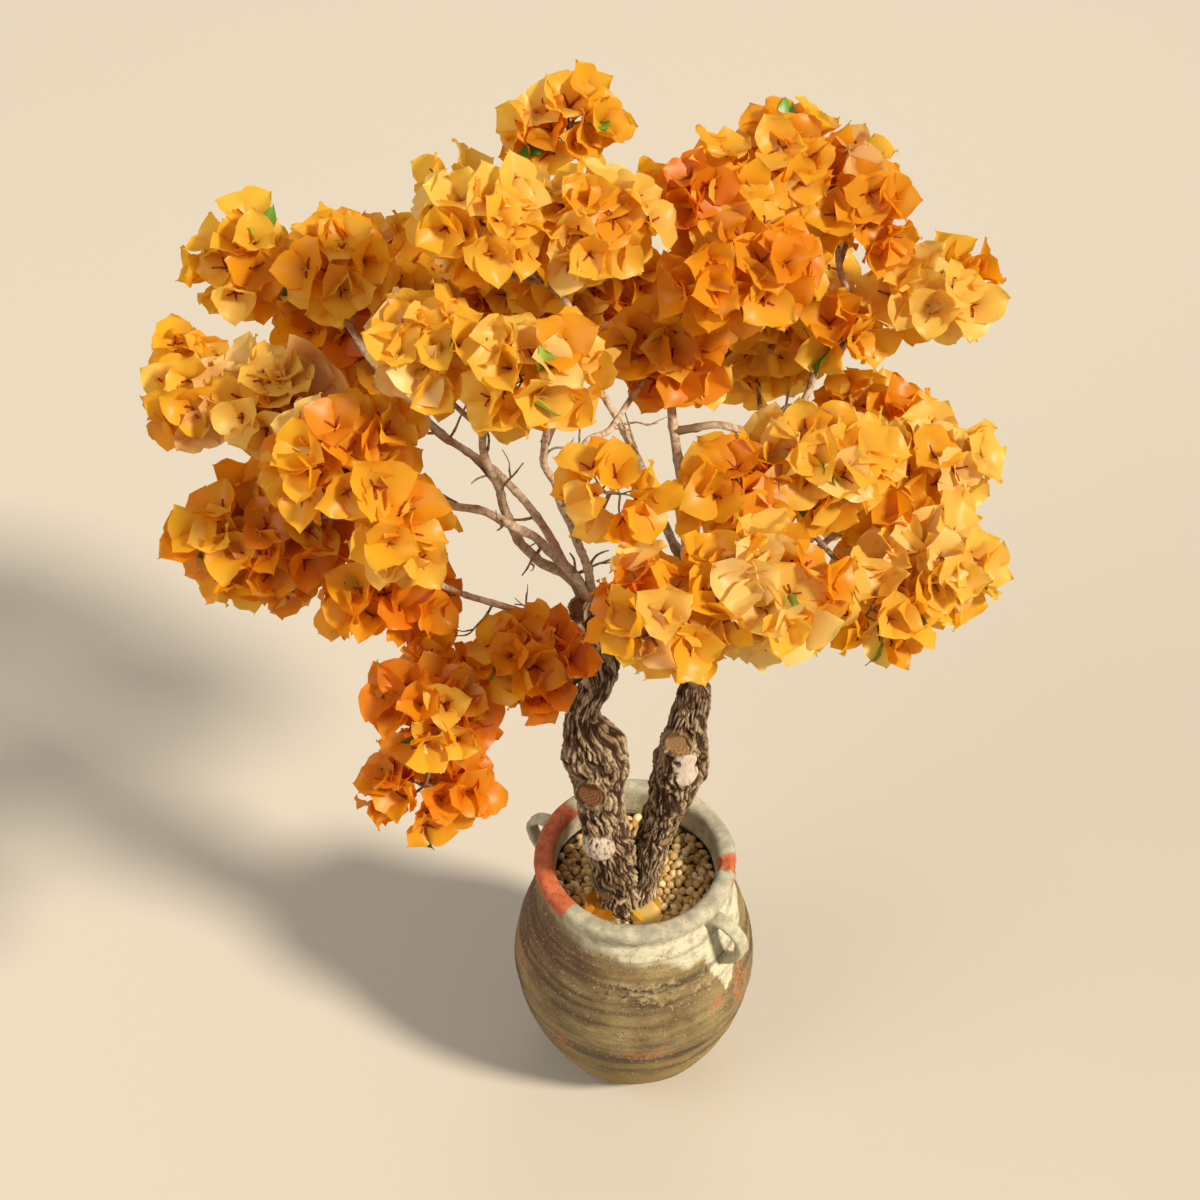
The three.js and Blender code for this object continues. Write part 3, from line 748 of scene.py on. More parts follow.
@dataclass
class Jar:
    """The turned jar, as one skin from its underside over the rim to its inner floor."""

    height: float = 350.0
    foot: float = 74.0
    belly: float = 136.5
    neck: float = 100.0
    rim: float = 111.0
    roll: float = 11.0
    wall: float = 12.0
    floor: float = 14.0
    gravel: float = 285.0
    shoulder: float = 318.0
    neck_line: float = 330.0
    throw_pitch: float = 10.5
    oval: float = 0.006
    columns: int = 264
    under_rows: int = 9
    lip_rows: int = 12

    def outline(self) -> Array:
        """The outer wall from foot to neck.

        Returns:
            Points of radius and height, close together.
        """
        given = np.array([
            [self.foot, 0], [0.5 * (self.foot + self.belly) + 9, 0.2 * self.height],
            [self.belly, 0.5 * self.height], [0.5 * (self.belly + self.neck) - 4, 0.79 * self.height],
            [self.neck, 0.91 * self.height],
        ])
        held = np.vstack([given[0], given, given[-1]])
        place = np.linspace(0, 4, 205)
        index = np.minimum(place.astype(int), 3)
        a, b, c, d = (held[index + k] for k in range(4))
        return between(b, c, (c - a) / 2, (d - b) / 2, (place - index)[:, None])

    def inner_radius(self, height: float) -> float:
        """Radius of the inner wall at a height."""
        outer = self.outline()
        return float(np.interp(height, outer[:, 1], outer[:, 0])) - self.wall

    def profile(self) -> Array:
        """The whole section.

        Returns:
            Points of radius and height, from the middle of the underside to the middle of the inner floor.
        """
        outer = self.outline()
        flat = np.linspace(1, self.foot - 1.6, self.under_rows)
        under = np.stack([flat, np.zeros_like(flat)], axis=1)
        turn = np.radians(np.linspace(-70, 188, 38))
        hub = np.array([self.rim - self.roll, self.height - self.roll])
        low = np.minimum(np.sin(turn), 0)
        square = np.sign(np.cos(turn)) * np.abs(np.cos(turn)) ** 0.7
        rim = hub + self.roll * np.stack([square, np.maximum(np.sin(turn), 0) ** 0.8 + 0.42 * low], axis=1)
        inner = outer[::-1] - [self.wall, 0]
        inner = inner[inner[:, 1] > self.floor + 4]
        near = inner[inner[:, 1] > self.gravel]
        far = inner[inner[:, 1] <= self.gravel][::8]
        base = np.stack([np.linspace(far[-1, 0] - 10, 1, 6), np.full(6, self.floor)], axis=1)
        rises = np.linspace(outer[-1, 1] + 1.5, rim[0, 1] - 2, 5)
        neck = np.stack([np.full(5, self.neck + 0.3), rises], axis=1)
        return np.concatenate([under, [[self.foot - 0.5, 0.6]], outer[3:], neck, rim, near, far, base])

    def turned(self) -> Turned:
        """Turns the section round the axis.

        Returns:
            The points of the skin.
        """
        section = self.profile()
        along = np.gradient(section, axis=0)
        facing = unit(np.stack([along[:, 1], -along[:, 0]], axis=1))
        rows = len(section)
        turn = np.linspace(-math.pi, math.pi, self.columns, endpoint=False)
        bearing = np.degrees(np.tile(turn, rows))
        radius, height, out_r, out_z = (np.repeat(v, self.columns) for v in (*section.T, *facing.T))
        round_x, round_y = np.cos(np.radians(bearing)), np.sin(np.radians(bearing))
        place = np.stack([radius * round_x, radius * round_y, height], axis=1)
        out = np.stack([out_r * round_x, out_r * round_y, out_z], axis=1)
        row = np.repeat(np.arange(rows), self.columns)
        worked = np.where(row > self.under_rows, 1.0, 0.0)
        outside = worked * (row <= int(np.argmax(section[:, 1])) + self.lip_rows)
        wander = GRAIN.layered(place / 60, 3)
        level = height + 3.0 * wander + 1.5 * np.sin(np.radians(bearing) * 2 + 0.8)
        rings = np.stack([0.35 * round_x, 0.35 * round_y, level / 9], axis=1)
        return Turned(place, out, bearing, radius, height, worked, outside, wander,
                      GRAIN.layered(place / 16, 3), level, GRAIN.layered(rings, 3))

    def relief(self, skin: Turned, wall: Array, crust: Array, flakes: Array, chip: Array) -> Array:
        """Throwing rings, dents, crust and chips.

        Args:
            skin: The points.
            wall: 1 on the wall and 0 at the foot and rim.
            crust: 1 in the crust.
            flakes: The crust's noise.
            chip: 1 in the chips.

        Returns:
            The height of the relief in millimetres, for each point.
        """
        throw = np.sin(skin.level * 2 * math.pi / self.throw_pitch)
        relief = 0.22 * throw * (0.6 + 0.8 * skin.wander) * wall
        dents = 1.2 * GRAIN.layered(skin.place / 45, 2) * step_up(skin.height, 4, 20)
        relief += 1.1 * skin.ringed * wall + dents
        relief += 0.5 * GRAIN.layered(skin.place / 7, 3) * step_up(skin.height, 2, 8)
        relief *= skin.worked
        relief += crust * (0.5 + 3.6 * step_up(flakes, -0.05, 0.22))
        return relief - 2.6 * chip * (0.8 + 0.5 * skin.edge)

    def tones(self, skin: Turned, wall: Array, chip: Array) -> dict[str, Array]:
        """The values that the jar's finish reads, apart from its crust.

        Args:
            skin: The points.
            wall: 1 on the wall and 0 at the foot and rim.
            chip: 1 in the chips.

        Returns:
            Each value by its name.
        """
        bearing, height, outside, edge = skin.bearing, skin.height, skin.outside, skin.edge
        from_left = np.abs(bearing % 360 - 180)
        bare = 1 - step_up(from_left + 6 * edge, 43, 46)
        clay = bare * step_up(height + 5 * edge, 322, 326) * outside
        worn = step_up(skin.radius + 3 * edge, self.rim - 4, self.rim - 2.5) * step_up(height, 334, 338)
        clay = np.maximum(clay, worn * outside * (1 - step_up(np.abs(bearing - 88), 48, 58)))
        clay = np.clip(clay + chip, 0, 1)
        ends = np.interp(bearing, *np.transpose(SLIP_ENDS))
        soft = np.interp(bearing, *np.transpose(SLIP_SOFTNESS))
        ragged = 10 + 12 * bump_at(bearing, -40, 16)
        slip = step_up((height + ragged * edge - ends) / soft, -1, 1) * outside
        inside = (1 - outside) * (height > 40)
        slip = np.clip(slip + inside * step_up(height, 40, 60), 0, 1) * (1 - clay)
        plum = step_up(from_left + 20 * skin.wander, 74, 40) * bump_at(height, 268, 52)
        plum = np.clip(plum * (0.85 + 1.1 * skin.ringed), 0, 1)
        bands = sum(bump_at(skin.level, *band) for band in BANDS)
        band = np.clip(0.8 * bands * (0.75 + 1.6 * skin.wander) + 1.3 * skin.ringed, 0, 1) * wall
        # Painted shade: a dark line round the neck just under the rim's lip, where the lip overhangs.
        band += bump_at(height, self.neck_line, 2.4) * (0.8 + 0.8 * edge) * outside
        olive = np.clip(step_up(height, 190, 70) * (0.75 + 1.2 * skin.wander) - 0.5 * band, 0, 1)
        rim = 0.75 * step_up(height, self.neck_line - 2, self.neck_line + 4) * (0.8 + edge)
        return {"slip": slip, "rim": rim, "clay": clay, "fleck": skin.patches(FLECKS, 1.2), "band": band,
                "olive": olive, "plum": plum}

    def build(self) -> None:
        """Turns the jar, works its surface and gives it its finish."""
        skin = self.turned()
        wall = step_up(skin.height, 6, 30) * (1 - step_up(skin.height, self.shoulder, self.neck_line))
        crust, chip = skin.patches(CRUSTS, 1.3), skin.patches(CHIPS, 0.7)
        flakes = GRAIN.layered(skin.place / [8, 8, 3.4], 2)
        place = skin.place + self.relief(skin, wall, crust, flakes, chip)[:, None] * skin.out
        place[:, :2] *= (1 + self.oval * np.cos(np.radians(2 * skin.bearing + 50)))[:, None]
        place[:, 2] = np.maximum(place[:, 2], 0)
        crust = crust * step_up(flakes, -0.1, 0.15)
        made = Skin()
        faces = grid_faces(len(place) // self.columns, self.columns, True)
        made.add(place, faces, crust=crust, **self.tones(skin, wall, chip))
        made.piece("jar_wall", [Stoneware()], Slot.STONEWARE, ["jar"])


@dataclass
class Lugs:
    """The two strap lugs: flat arched straps with a thumbed groove, pressed to the shoulder at both ends."""

    bearing: float = -36.0
    top: float = 319.0
    foot: float = 264.5
    reach: float = 34.0
    width: float = 14.0
    thickness: float = 9.0
    neck: float = 100.0
    groove: float = 1.5
    steps: int = 70
    sides: int = 40

    def strap(self, bearing: float) -> tuple[Array, dict[str, Array]]:
        """Sweeps one strap.

        Args:
            bearing: Its direction from the jar's axis, in degrees.

        Returns:
            Its points, and the values that its finish reads.
        """
        out = np.array([math.cos(math.radians(bearing)), math.sin(math.radians(bearing)), 0])
        side = np.array([-out[1], out[0], 0])
        tip = self.neck + self.reach
        stations = (
            (self.neck - 4, self.top - 5), (self.neck + 0.35 * self.reach, self.top + 1),
            (self.neck + 0.95 * self.reach, self.top - 5), (tip + 10, 0.5 * (self.top + self.foot) + 5),
            (self.neck + 0.98 * self.reach, self.foot + 3), (self.neck + 2, self.foot - 14),
        )
        course = Course(np.array([out * r + [0, 0, z] for r, z in stations]))
        share = np.linspace(0, 1, self.steps)
        centre = course.at(share)
        rise = np.cross(course.tangents(share), side)
        turn = circle(self.sides)
        ends = np.exp(-share * 9) + np.exp(-(1 - share) * 9)
        flat, deep = (np.sign(v) * np.abs(v) ** 0.8 for v in (np.cos(turn), np.sin(turn)))
        wide = 0.5 * self.width * (1.14 + 0.7 * ends)[:, None] * flat
        thick = 0.5 * self.thickness * deep * np.ones_like(wide)
        outer = np.where(np.sign(np.sin(turn)) * (rise @ out)[:, None] > 0, 1.0, 0.0)
        thick = thick - np.sign(thick) * self.groove * np.exp(-((wide - 1.2) / 1.6) ** 2) * outer
        points = centre[:, None] + side * wide[..., None] + rise[:, None] * thick[..., None]
        points = points.reshape(-1, 3)
        edge = GRAIN.layered(points / 9, 3)
        away = unit(points - np.repeat(centre, self.sides, axis=0))
        points = points + away * (0.9 * GRAIN.layered(points / 6, 3))[:, None]
        low = np.repeat(share, self.sides)
        slip, fleck = step_up(low + 0.35 * edge, 0.98, 0.82), step_up(low + 0.5 * edge, 0.7, 0.95)
        return points, {"slip": slip, "fleck": fleck, "band": 0.2, "rim": 0.2, "clay": 0.0, "crust": 0.0,
                        "olive": 0.0, "plum": 0.0}

    def build(self) -> None:
        """Builds both straps as one piece."""
        skin = Skin()
        for bearing in (self.bearing, self.bearing + 180):
            points, values = self.strap(bearing)
            skin.add(points, grid_faces(self.steps, self.sides, True), **values)
        skin.piece("lug_straps", [Stoneware(name="lug_stoneware")], Slot.SLIP, ["lug_right", "lug_left"])


@dataclass
class GravelBed:
    """Soil and pebbles up to the gravel's level."""

    level: float = 305.0
    soil_depth: float = 4.0
    spacing: float = 9.0
    layers: int = 2
    cells: int = 14
    trunk_room: float = 22.0
    rings: int = 24
    columns: int = 72
    seed: int = 23

    def pebble(self) -> tuple[Array, Array]:
        """A ball of even triangles with a radius of one.

        Returns:
            Its points and faces.
        """
        mesh = bpy.data.meshes.new("ball")
        ball = bmesh.new()
        bmesh.ops.create_icosphere(ball, subdivisions=2, radius=1)
        ball.to_mesh(mesh)
        ball.free()
        points = np.array([v.co[:] for v in mesh.vertices])
        faces = np.array([p.vertices[:] for p in mesh.polygons])
        bpy.data.meshes.remove(mesh)
        return points, faces

    def soil(self, skin: Skin, reach: float) -> None:
        """Adds the dark soil between the pebbles.

        Args:
            skin: Where it is added.
            reach: Its radius.
        """
        rings, turn = np.linspace(1, reach + 1, self.rings), circle(self.columns)
        height = np.full((self.rings, self.columns), self.level - self.soil_depth)
        points = np.stack([np.outer(rings, np.cos(turn)), np.outer(rings, np.sin(turn)), height], axis=2)
        points = points.reshape(-1, 3)
        points[:, 2] += 1.5 * GRAIN.layered(points / 9, 3)
        skin.add(points, grid_faces(self.rings, self.columns, True)[:, ::-1], tone=0.0)

    def build(self, jar: Jar, trunk: "Trunk") -> None:
        """Fills the jar's mouth.

        Args:
            jar: The jar, for the width of its mouth.
            trunk: The trunk, which the pebbles leave room for.
        """
        rng = np.random.default_rng(self.seed)
        reach = jar.inner_radius(self.level) - 1.5
        skin = Skin()
        self.soil(skin, reach)
        ball, faces = self.pebble()
        feet = [limb.course.at(0.03)[0] for limb in trunk.arms]
        for layer in range(self.layers):
            for i, j in product(range(-self.cells, self.cells + 1), repeat=2):
                spot = np.array([i + 0.5 * (j % 2), j * 0.866]) * self.spacing + rng.uniform(-2.4, 2.4, 2)
                size = rng.uniform(3.9, 6.2)
                if np.hypot(*spot) + 0.8 * size > reach:
                    continue
                if min(np.hypot(*(spot - foot[:2])) for foot in feet) < self.trunk_room:
                    continue
                shape = ball * (1 + 0.32 * GRAIN.smooth(ball * 0.9 + rng.uniform(0, 90, 3)))[:, None]
                axis = unit(rng.normal(size=3))
                side, rise = across(axis)
                squash = np.outer(shape @ side, side) + 0.86 * np.outer(shape @ rise, rise)
                shape = squash + rng.uniform(0.62, 0.85) * np.outer(shape @ axis, axis)
                height = self.level - 4.5 + 3.8 * layer + rng.uniform(-2.2, 2.0)
                tone = float(np.clip(rng.normal(0.58, 0.2), 0.12, 1))
                skin.add(shape * size + [*spot, height], faces, tone=tone)
        skin.piece("pebble_bed", [Pebbles()], Slot.GRAVEL, ["gravel_bed"])


@dataclass
class Limb:
    """A trunk arm or a bough: its course, and its radius from root to tip."""

    name: str
    course: Course
    radii: Array
    phase: float

    def radius(self, shares: Array | float) -> Array:
        """Radius at shares of the length."""
        return np.interp(shares, np.linspace(0, 1, len(self.radii)), self.radii)


class Wound(Enum):
    """Kinds of mark on the trunk."""

    SCAR = 1
    KNOB = 2
    WORN = 3
    HOLE = 4


@dataclass
class Hide:
    """The surface of a trunk arm while its marks are worked in.

    Each field has one value or one row for each point: its place, its direction away from the arm's
    middle, the height of its relief, how high it lies from 0 to 1, and how bare, how cut and how pale
    it is.
    """

    place: Array
    out: Array
    rough: Array
    level: Array
    bare: Array
    cut: Array
    tone: Array


@dataclass(frozen=True)
class Mark:
    """A mark on a trunk arm: its arm, height, bearing, radius and kind, how pale it is and its tilt up."""

    arm: int
    height: float
    bearing: float
    radius: float
    kind: Wound
    tone: float = 0.5
    tilt: float = 0.0

    def work(self, hide: Hide, centre: Array) -> None:
        """Works the mark into an arm's surface.

        Args:
            hide: The surface, which it changes.
            centre: The arm's middle at each row of the surface.
        """
        row = int(np.argmin(np.abs(centre[:, 2] - self.height)))
        aim = np.array([math.cos(math.radians(self.bearing)), math.sin(math.radians(self.bearing)), 0])
        ring = hide.place.reshape(len(centre), -1, 3)[row]
        spot = ring[int(np.argmax((ring - centre[row]) @ aim))]
        lift = math.radians(self.tilt)
        facing = unit(unit(spot - centre[row]) * math.cos(lift) + [0, 0, math.sin(lift)])
        away = hide.place - spot
        far = np.linalg.norm(away - (away @ facing)[:, None] * facing, axis=1)
        near = (hide.out @ aim > 0.1) & (np.linalg.norm(away, axis=1) < 3 * self.radius)
        wobbled = far * (1 + 0.1 * GRAIN.smooth(hide.place / 9))
        inner = (1 - step_up(wobbled / self.radius, 0.88, 1.02)) * near
        lip = bump_at(wobbled, self.radius * 1.14, 0.17 * self.radius) * near
        if self.kind is Wound.SCAR:
            depth = np.clip(-(away @ facing) / np.maximum(hide.out @ facing, 0.3), -5, 8)
            ringed = np.sin(far * 2.4 + 2 * GRAIN.smooth(hide.place / 7))
            swell = (2.6 + np.clip(depth, 0, 6)) * lip
            hide.rough = hide.rough * (1 - inner) + (depth + 0.2 * ringed) * inner + swell
            hide.cut = np.maximum(hide.cut, inner)
            hide.tone = np.where(inner > 0.02, np.clip(self.tone + 0.22 * ringed, 0, 1), hide.tone)
            # The bark's colour follows this level: the darker ring at the cut's edge is painted shade in the
            # groove, and the paler swollen lip a painted highlight.
            sunk = hide.level * (1 - 0.8 * bump_at(wobbled, self.radius, 1.2) * near)
            hide.level = np.where(lip > 0.4, np.maximum(hide.level, 0.75), sunk)
        elif self.kind is Wound.KNOB:
            dome = np.sqrt(np.clip(1 - (far / self.radius) ** 2, 0, 1))
            pits = step_up(GRAIN.layered(hide.place / [2.6, 2.6, 9], 3), 0.2, 0.34)
            hide.rough = hide.rough * (1 - 0.7 * inner) + (6.0 * dome - 2.0 * pits) * inner
            hide.bare = np.maximum(hide.bare, inner * (1 - pits))
            # The lower level in the pits gives them painted shade.
            hide.level = hide.level * (1 - 0.7 * inner * pits)
        elif self.kind is Wound.WORN:
            hide.rough = hide.rough * (1 - 0.9 * inner) + 1.0 * inner
            ragged = step_up(inner + 0.3 * GRAIN.layered(hide.place / 9, 2), 0.35, 0.6)
            hide.bare = np.maximum(hide.bare, ragged)
        else:
            hide.rough = hide.rough - 7 * inner + 1.6 * lip
            hide.bare = hide.bare * (1 - inner)
            # Level zero makes the hole's inside near black: painted shade.
            hide.level = hide.level * (1 - inner)


LEFT_ARM = (
    (-14, -22, 300, 28), (-24, -24, 358, 27), (-31, -26, 411, 25), (-38, -24, 456, 24), (-40, -20, 499, 25.5),
    (-41, -16, 528, 31), (-46, -12, 553, 33), (-53, -8, 577, 23), (-56, -6, 599, 16), (-49, -4, 620, 15),
    (-41, -2, 643, 17), (-39, 0, 671, 19), (-45, 0, 706, 17), (-48, 0, 738, 16), (-46, 0, 765, 14),
)
RIGHT_ARM = (
    (-6, -20, 300, 25), (10, -18, 353, 19), (19, -16, 397, 18), (29, -14, 444, 20), (39, -12, 489, 25),
    (44, -10, 517, 28), (46, -10, 549, 24), (49, -10, 577, 20), (51, -10, 600, 18.5), (54, -8, 620, 16.5),
    (57, -6, 650, 15),
)
MARKS = (
    Mark(0, 512, -98, 12.5, Wound.SCAR, 0.15, 24),
    Mark(0, 428, -103, 18.5, Wound.KNOB, 0.5, 20),
    Mark(0, 345, -118, 7, Wound.SCAR, 0.7, 10),
    Mark(0, 640, 60, 8, Wound.SCAR, 0.4, 20),
    Mark(0, 560, 120, 12, Wound.SCAR, 0.5, 15),
    Mark(0, 752, -145, 9, Wound.SCAR, 0.0, 20),
    Mark(1, 576, -116, 11.5, Wound.SCAR, 0.85, 28),
    Mark(1, 548, -74, 14, Wound.WORN),
    Mark(1, 530, -64, 13, Wound.WORN),
    Mark(1, 549, -98, 4.2, Wound.HOLE),
    Mark(1, 540, -42, 5.2, Wound.HOLE),
    Mark(1, 470, 80, 12, Wound.SCAR, 0.6, 15),
    Mark(1, 418, -60, 5, Wound.SCAR, 0.7),
)


@dataclass
class Trunk:
    """The forked trunk with its corky bark."""

    columns: int = 148
    step: float = 1.65
    furrow: float = 0.07
    samples: int = 40
    blend: float = 13.0
    soil: float = 305.0
    flare: float = 0.22
    flare_height: float = 16.0
    spin: float = 0.006
    bark_depth: float = 3.0
    lump_depth: float = 4.2
    close_share: float = 0.012
    dice: Dice = field(default_factory=lambda: Dice(4711))
    arms: list[Limb] = field(default_factory=list)

    def __post_init__(self) -> None:
        """Lays out both arms."""
        self.arms = [self.arm("trunk_left", LEFT_ARM), self.arm("trunk_right", RIGHT_ARM)]

    def arm(self, name: str, stations: tuple) -> Limb:
        """One arm from its stations.

        Args:
            name: The arm's name.
            stations: Rows of place and radius.

        Returns:
            The arm, with radii evened along its length.
        """
        table = np.array(stations, float)
        course = Course(table[:, :3])
        here = course.at(np.linspace(0, 1, self.samples + 1))
        far = np.linalg.norm(here[:, None] - table[None, :, :3], axis=2)
        pull = np.exp(-(far / self.blend) ** 2)
        return Limb(name, course, (pull @ table[:, 3]) / pull.sum(axis=1), 2 * math.pi * self.dice.roll())

    def relief(self, arm: Limb, share: Array, turn: Array) -> tuple[Array, Array]:
        """The bark's relief over an arm: plates between long cracks, with slits, flakes and lumps.

        Args:
            arm: The arm.
            share: Share of the length, for each point.
            turn: Angle round the arm, for each point.

        Returns:
            The height of the relief in millimetres, and how high each point lies from 0 to 1.
        """
        run = share * arm.course.length
        spun = turn + self.spin * run
        flat = np.stack([24 * np.cos(spun), 24 * np.sin(spun), run + 90 * arm.phase], axis=1)
        bend = np.stack([GRAIN.layered(flat / 30 + k * 31, 2) for k in range(3)], axis=1)
        bent = flat + bend * [8, 8, 14]
        plates = GRAIN.cracks(bent / [5.2, 5.2, 40], 0.2)
        slits = GRAIN.cracks(bent / [2.7, 2.7, 23] + 40, 0.2)
        hair = GRAIN.layered(bent / [1.7, 1.7, 15], 2)
        flakes = GRAIN.layered(bent / [6, 6, 17] + 70, 2)
        lumps = GRAIN.layered(flat / [16, 16, 26], 2)
        level = (1 - 0.8 * plates) * (1 - 0.55 * slits) + 0.3 * hair + 0.35 * flakes
        depth = np.clip(arm.radius(share) / 24, 0.6, 1.15)
        return depth * (self.bark_depth * (level - 0.7) + self.lump_depth * lumps), np.clip(level, 0, 1)

    def dress(self, skin: Skin, number: int) -> None:
        """Adds one arm's bark.

        Args:
            skin: Where it is added.
            number: The arm's place in the list of arms.
        """
        arm = self.arms[number]
        rows = int(arm.course.length / self.step)
        share = np.linspace(0, 1, rows)
        centre = arm.course.at(share)
        angle = circle(self.columns)
        out = spokes(*carried(arm.course.tangents(share)), angle).reshape(-1, 3)
        shares, turns = np.repeat(share, self.columns), np.tile(angle, rows)
        middle = np.repeat(centre, self.columns, axis=0)
        width = arm.radius(shares) * (1 + self.furrow * np.cos(3 * turns + arm.phase + 5 * shares))
        width *= 1 + self.flare * np.exp(-np.maximum(middle[:, 2] - self.soil, 0) / self.flare_height)
        rough, level = self.relief(arm, shares, turns)
        none = np.zeros(len(out))
        hide = Hide(middle + out * width[:, None], out, rough, level, none, none, none + 0.5)
        for mark in MARKS:
            if mark.arm == number:
                mark.work(hide, centre)
        place = hide.place + out * hide.rough[:, None]
        end = int(self.close_share * rows) + 2
        block = place.reshape(rows, self.columns, 3)
        for k in range(end):
            block[rows - end + k] += (centre[-1] - block[rows - end + k]) * (k + 1) / end * [1, 1, 0.4]
        # ridge carries the relief's height, which the bark's finish turns into painted shade in the fissures
        # and painted highlight on the crests.
        skin.add(place, grid_faces(rows, self.columns, True), ridge=hide.level, bare=np.clip(hide.bare, 0, 1),
                 cut=hide.cut, tone=hide.tone)

    def build(self) -> None:
        """Builds both arms as one piece."""
        skin = Skin()
        for number in range(len(self.arms)):
            self.dress(skin, number)
        skin.piece("trunk_bark", [Bark()], Slot.BARK, ["trunk_foot", "trunk_left", "trunk_right"])


BOUGHS = (
    ("bough_left", "trunk_left", 0.97, (5.2, 3.2),
     ((-75, -15, 825), (-99, -30, 874), (-129, -45, 911), (-168, -65, 948), (-221, -75, 975))),
    ("bough_far_left", "bough_left", 0.8, (3.2, 2.8), ((-254, -20, 968), (-311, 20, 967), (-363, 45, 969))),
    ("bough_centre_left", "trunk_left", 0.985, (5.6, 3.2),
     ((-72, 2, 791), (-95, -8, 818), (-114, -16, 853), (-127, -20, 901), (-137, -34, 962),
      (-141, -46, 1024))),
    ("bough_upper_left", "bough_centre_left", 0.74, (3.2, 2.8),
     ((-182, -10, 983), (-221, 40, 990), (-272, 100, 1024), (-318, 130, 1044))),
    ("bough_middle", "trunk_left", 0.985, (4.6, 3),
     ((-61, -20, 860), (-74, -36, 921), (-88, -50, 984), (-85, -62, 1039), (-89, -72, 1086))),
    ("bough_top", "bough_middle", 0.78, (3.2, 2.8), ((-72, -6, 1030), (-63, 30, 1082), (-84, 50, 1130))),
    ("bough_inner", "bough_middle", 0.5, (3.1, 2.7),
     ((-62, -24, 960), (-50, -4, 971), (-30, 24, 958), (-12, 52, 968), (5, 72, 985))),
    ("bough_rise", "trunk_right", 0.985, (6, 3.4),
     ((55, 4, 729), (43, 20, 820), (36, 45, 888), (27, 85, 977), (42, 105, 1055), (48, 112, 1105))),
    ("bough_right_back", "bough_rise", 0.6, (3.6, 3),
     ((68, 70, 922), (117, 76, 901), (141, 86, 893), (153, 100, 924), (165, 118, 953), (190, 135, 964),
      (198, 146, 1000), (178, 155, 1066))),
    ("bough_front", "trunk_right", 0.97, (6, 3.6), ((55, -70, 767), (61, -170, 906))),
    ("bough_right", "trunk_right", 0.97, (6, 3.6), ((98, -46, 774), (128, -72, 862), (158, -80, 940))),
    ("bough_right_out", "bough_right", 0.72, (3.4, 2.8), ((190, -50, 915), (245, -30, 934))),
    ("bough_low_left", "trunk_left", 0.9, (4, 2.8), ((-84, -50, 786), (-131, -85, 841), (-182, -110, 894))),
    ("bough_low", "trunk_left", 0.71, (4.6, 3),
     ((-77, -60, 720), (-113, -110, 786), (-162, -150, 797), (-195, -165, 751))),
    ("bough_back_left", "trunk_left", 0.93, (4.6, 3.2),
     ((-100, 70, 800), (-190, 150, 832), (-262, 205, 885))),
    ("bough_back_mid", "bough_rise", 0.3, (4.6, 3.2), ((0, 110, 835), (-62, 205, 895))),
    ("bough_back_right", "bough_rise", 0.4, (4.6, 3.2), ((92, 130, 833), (150, 175, 850), (222, 165, 812))),
)


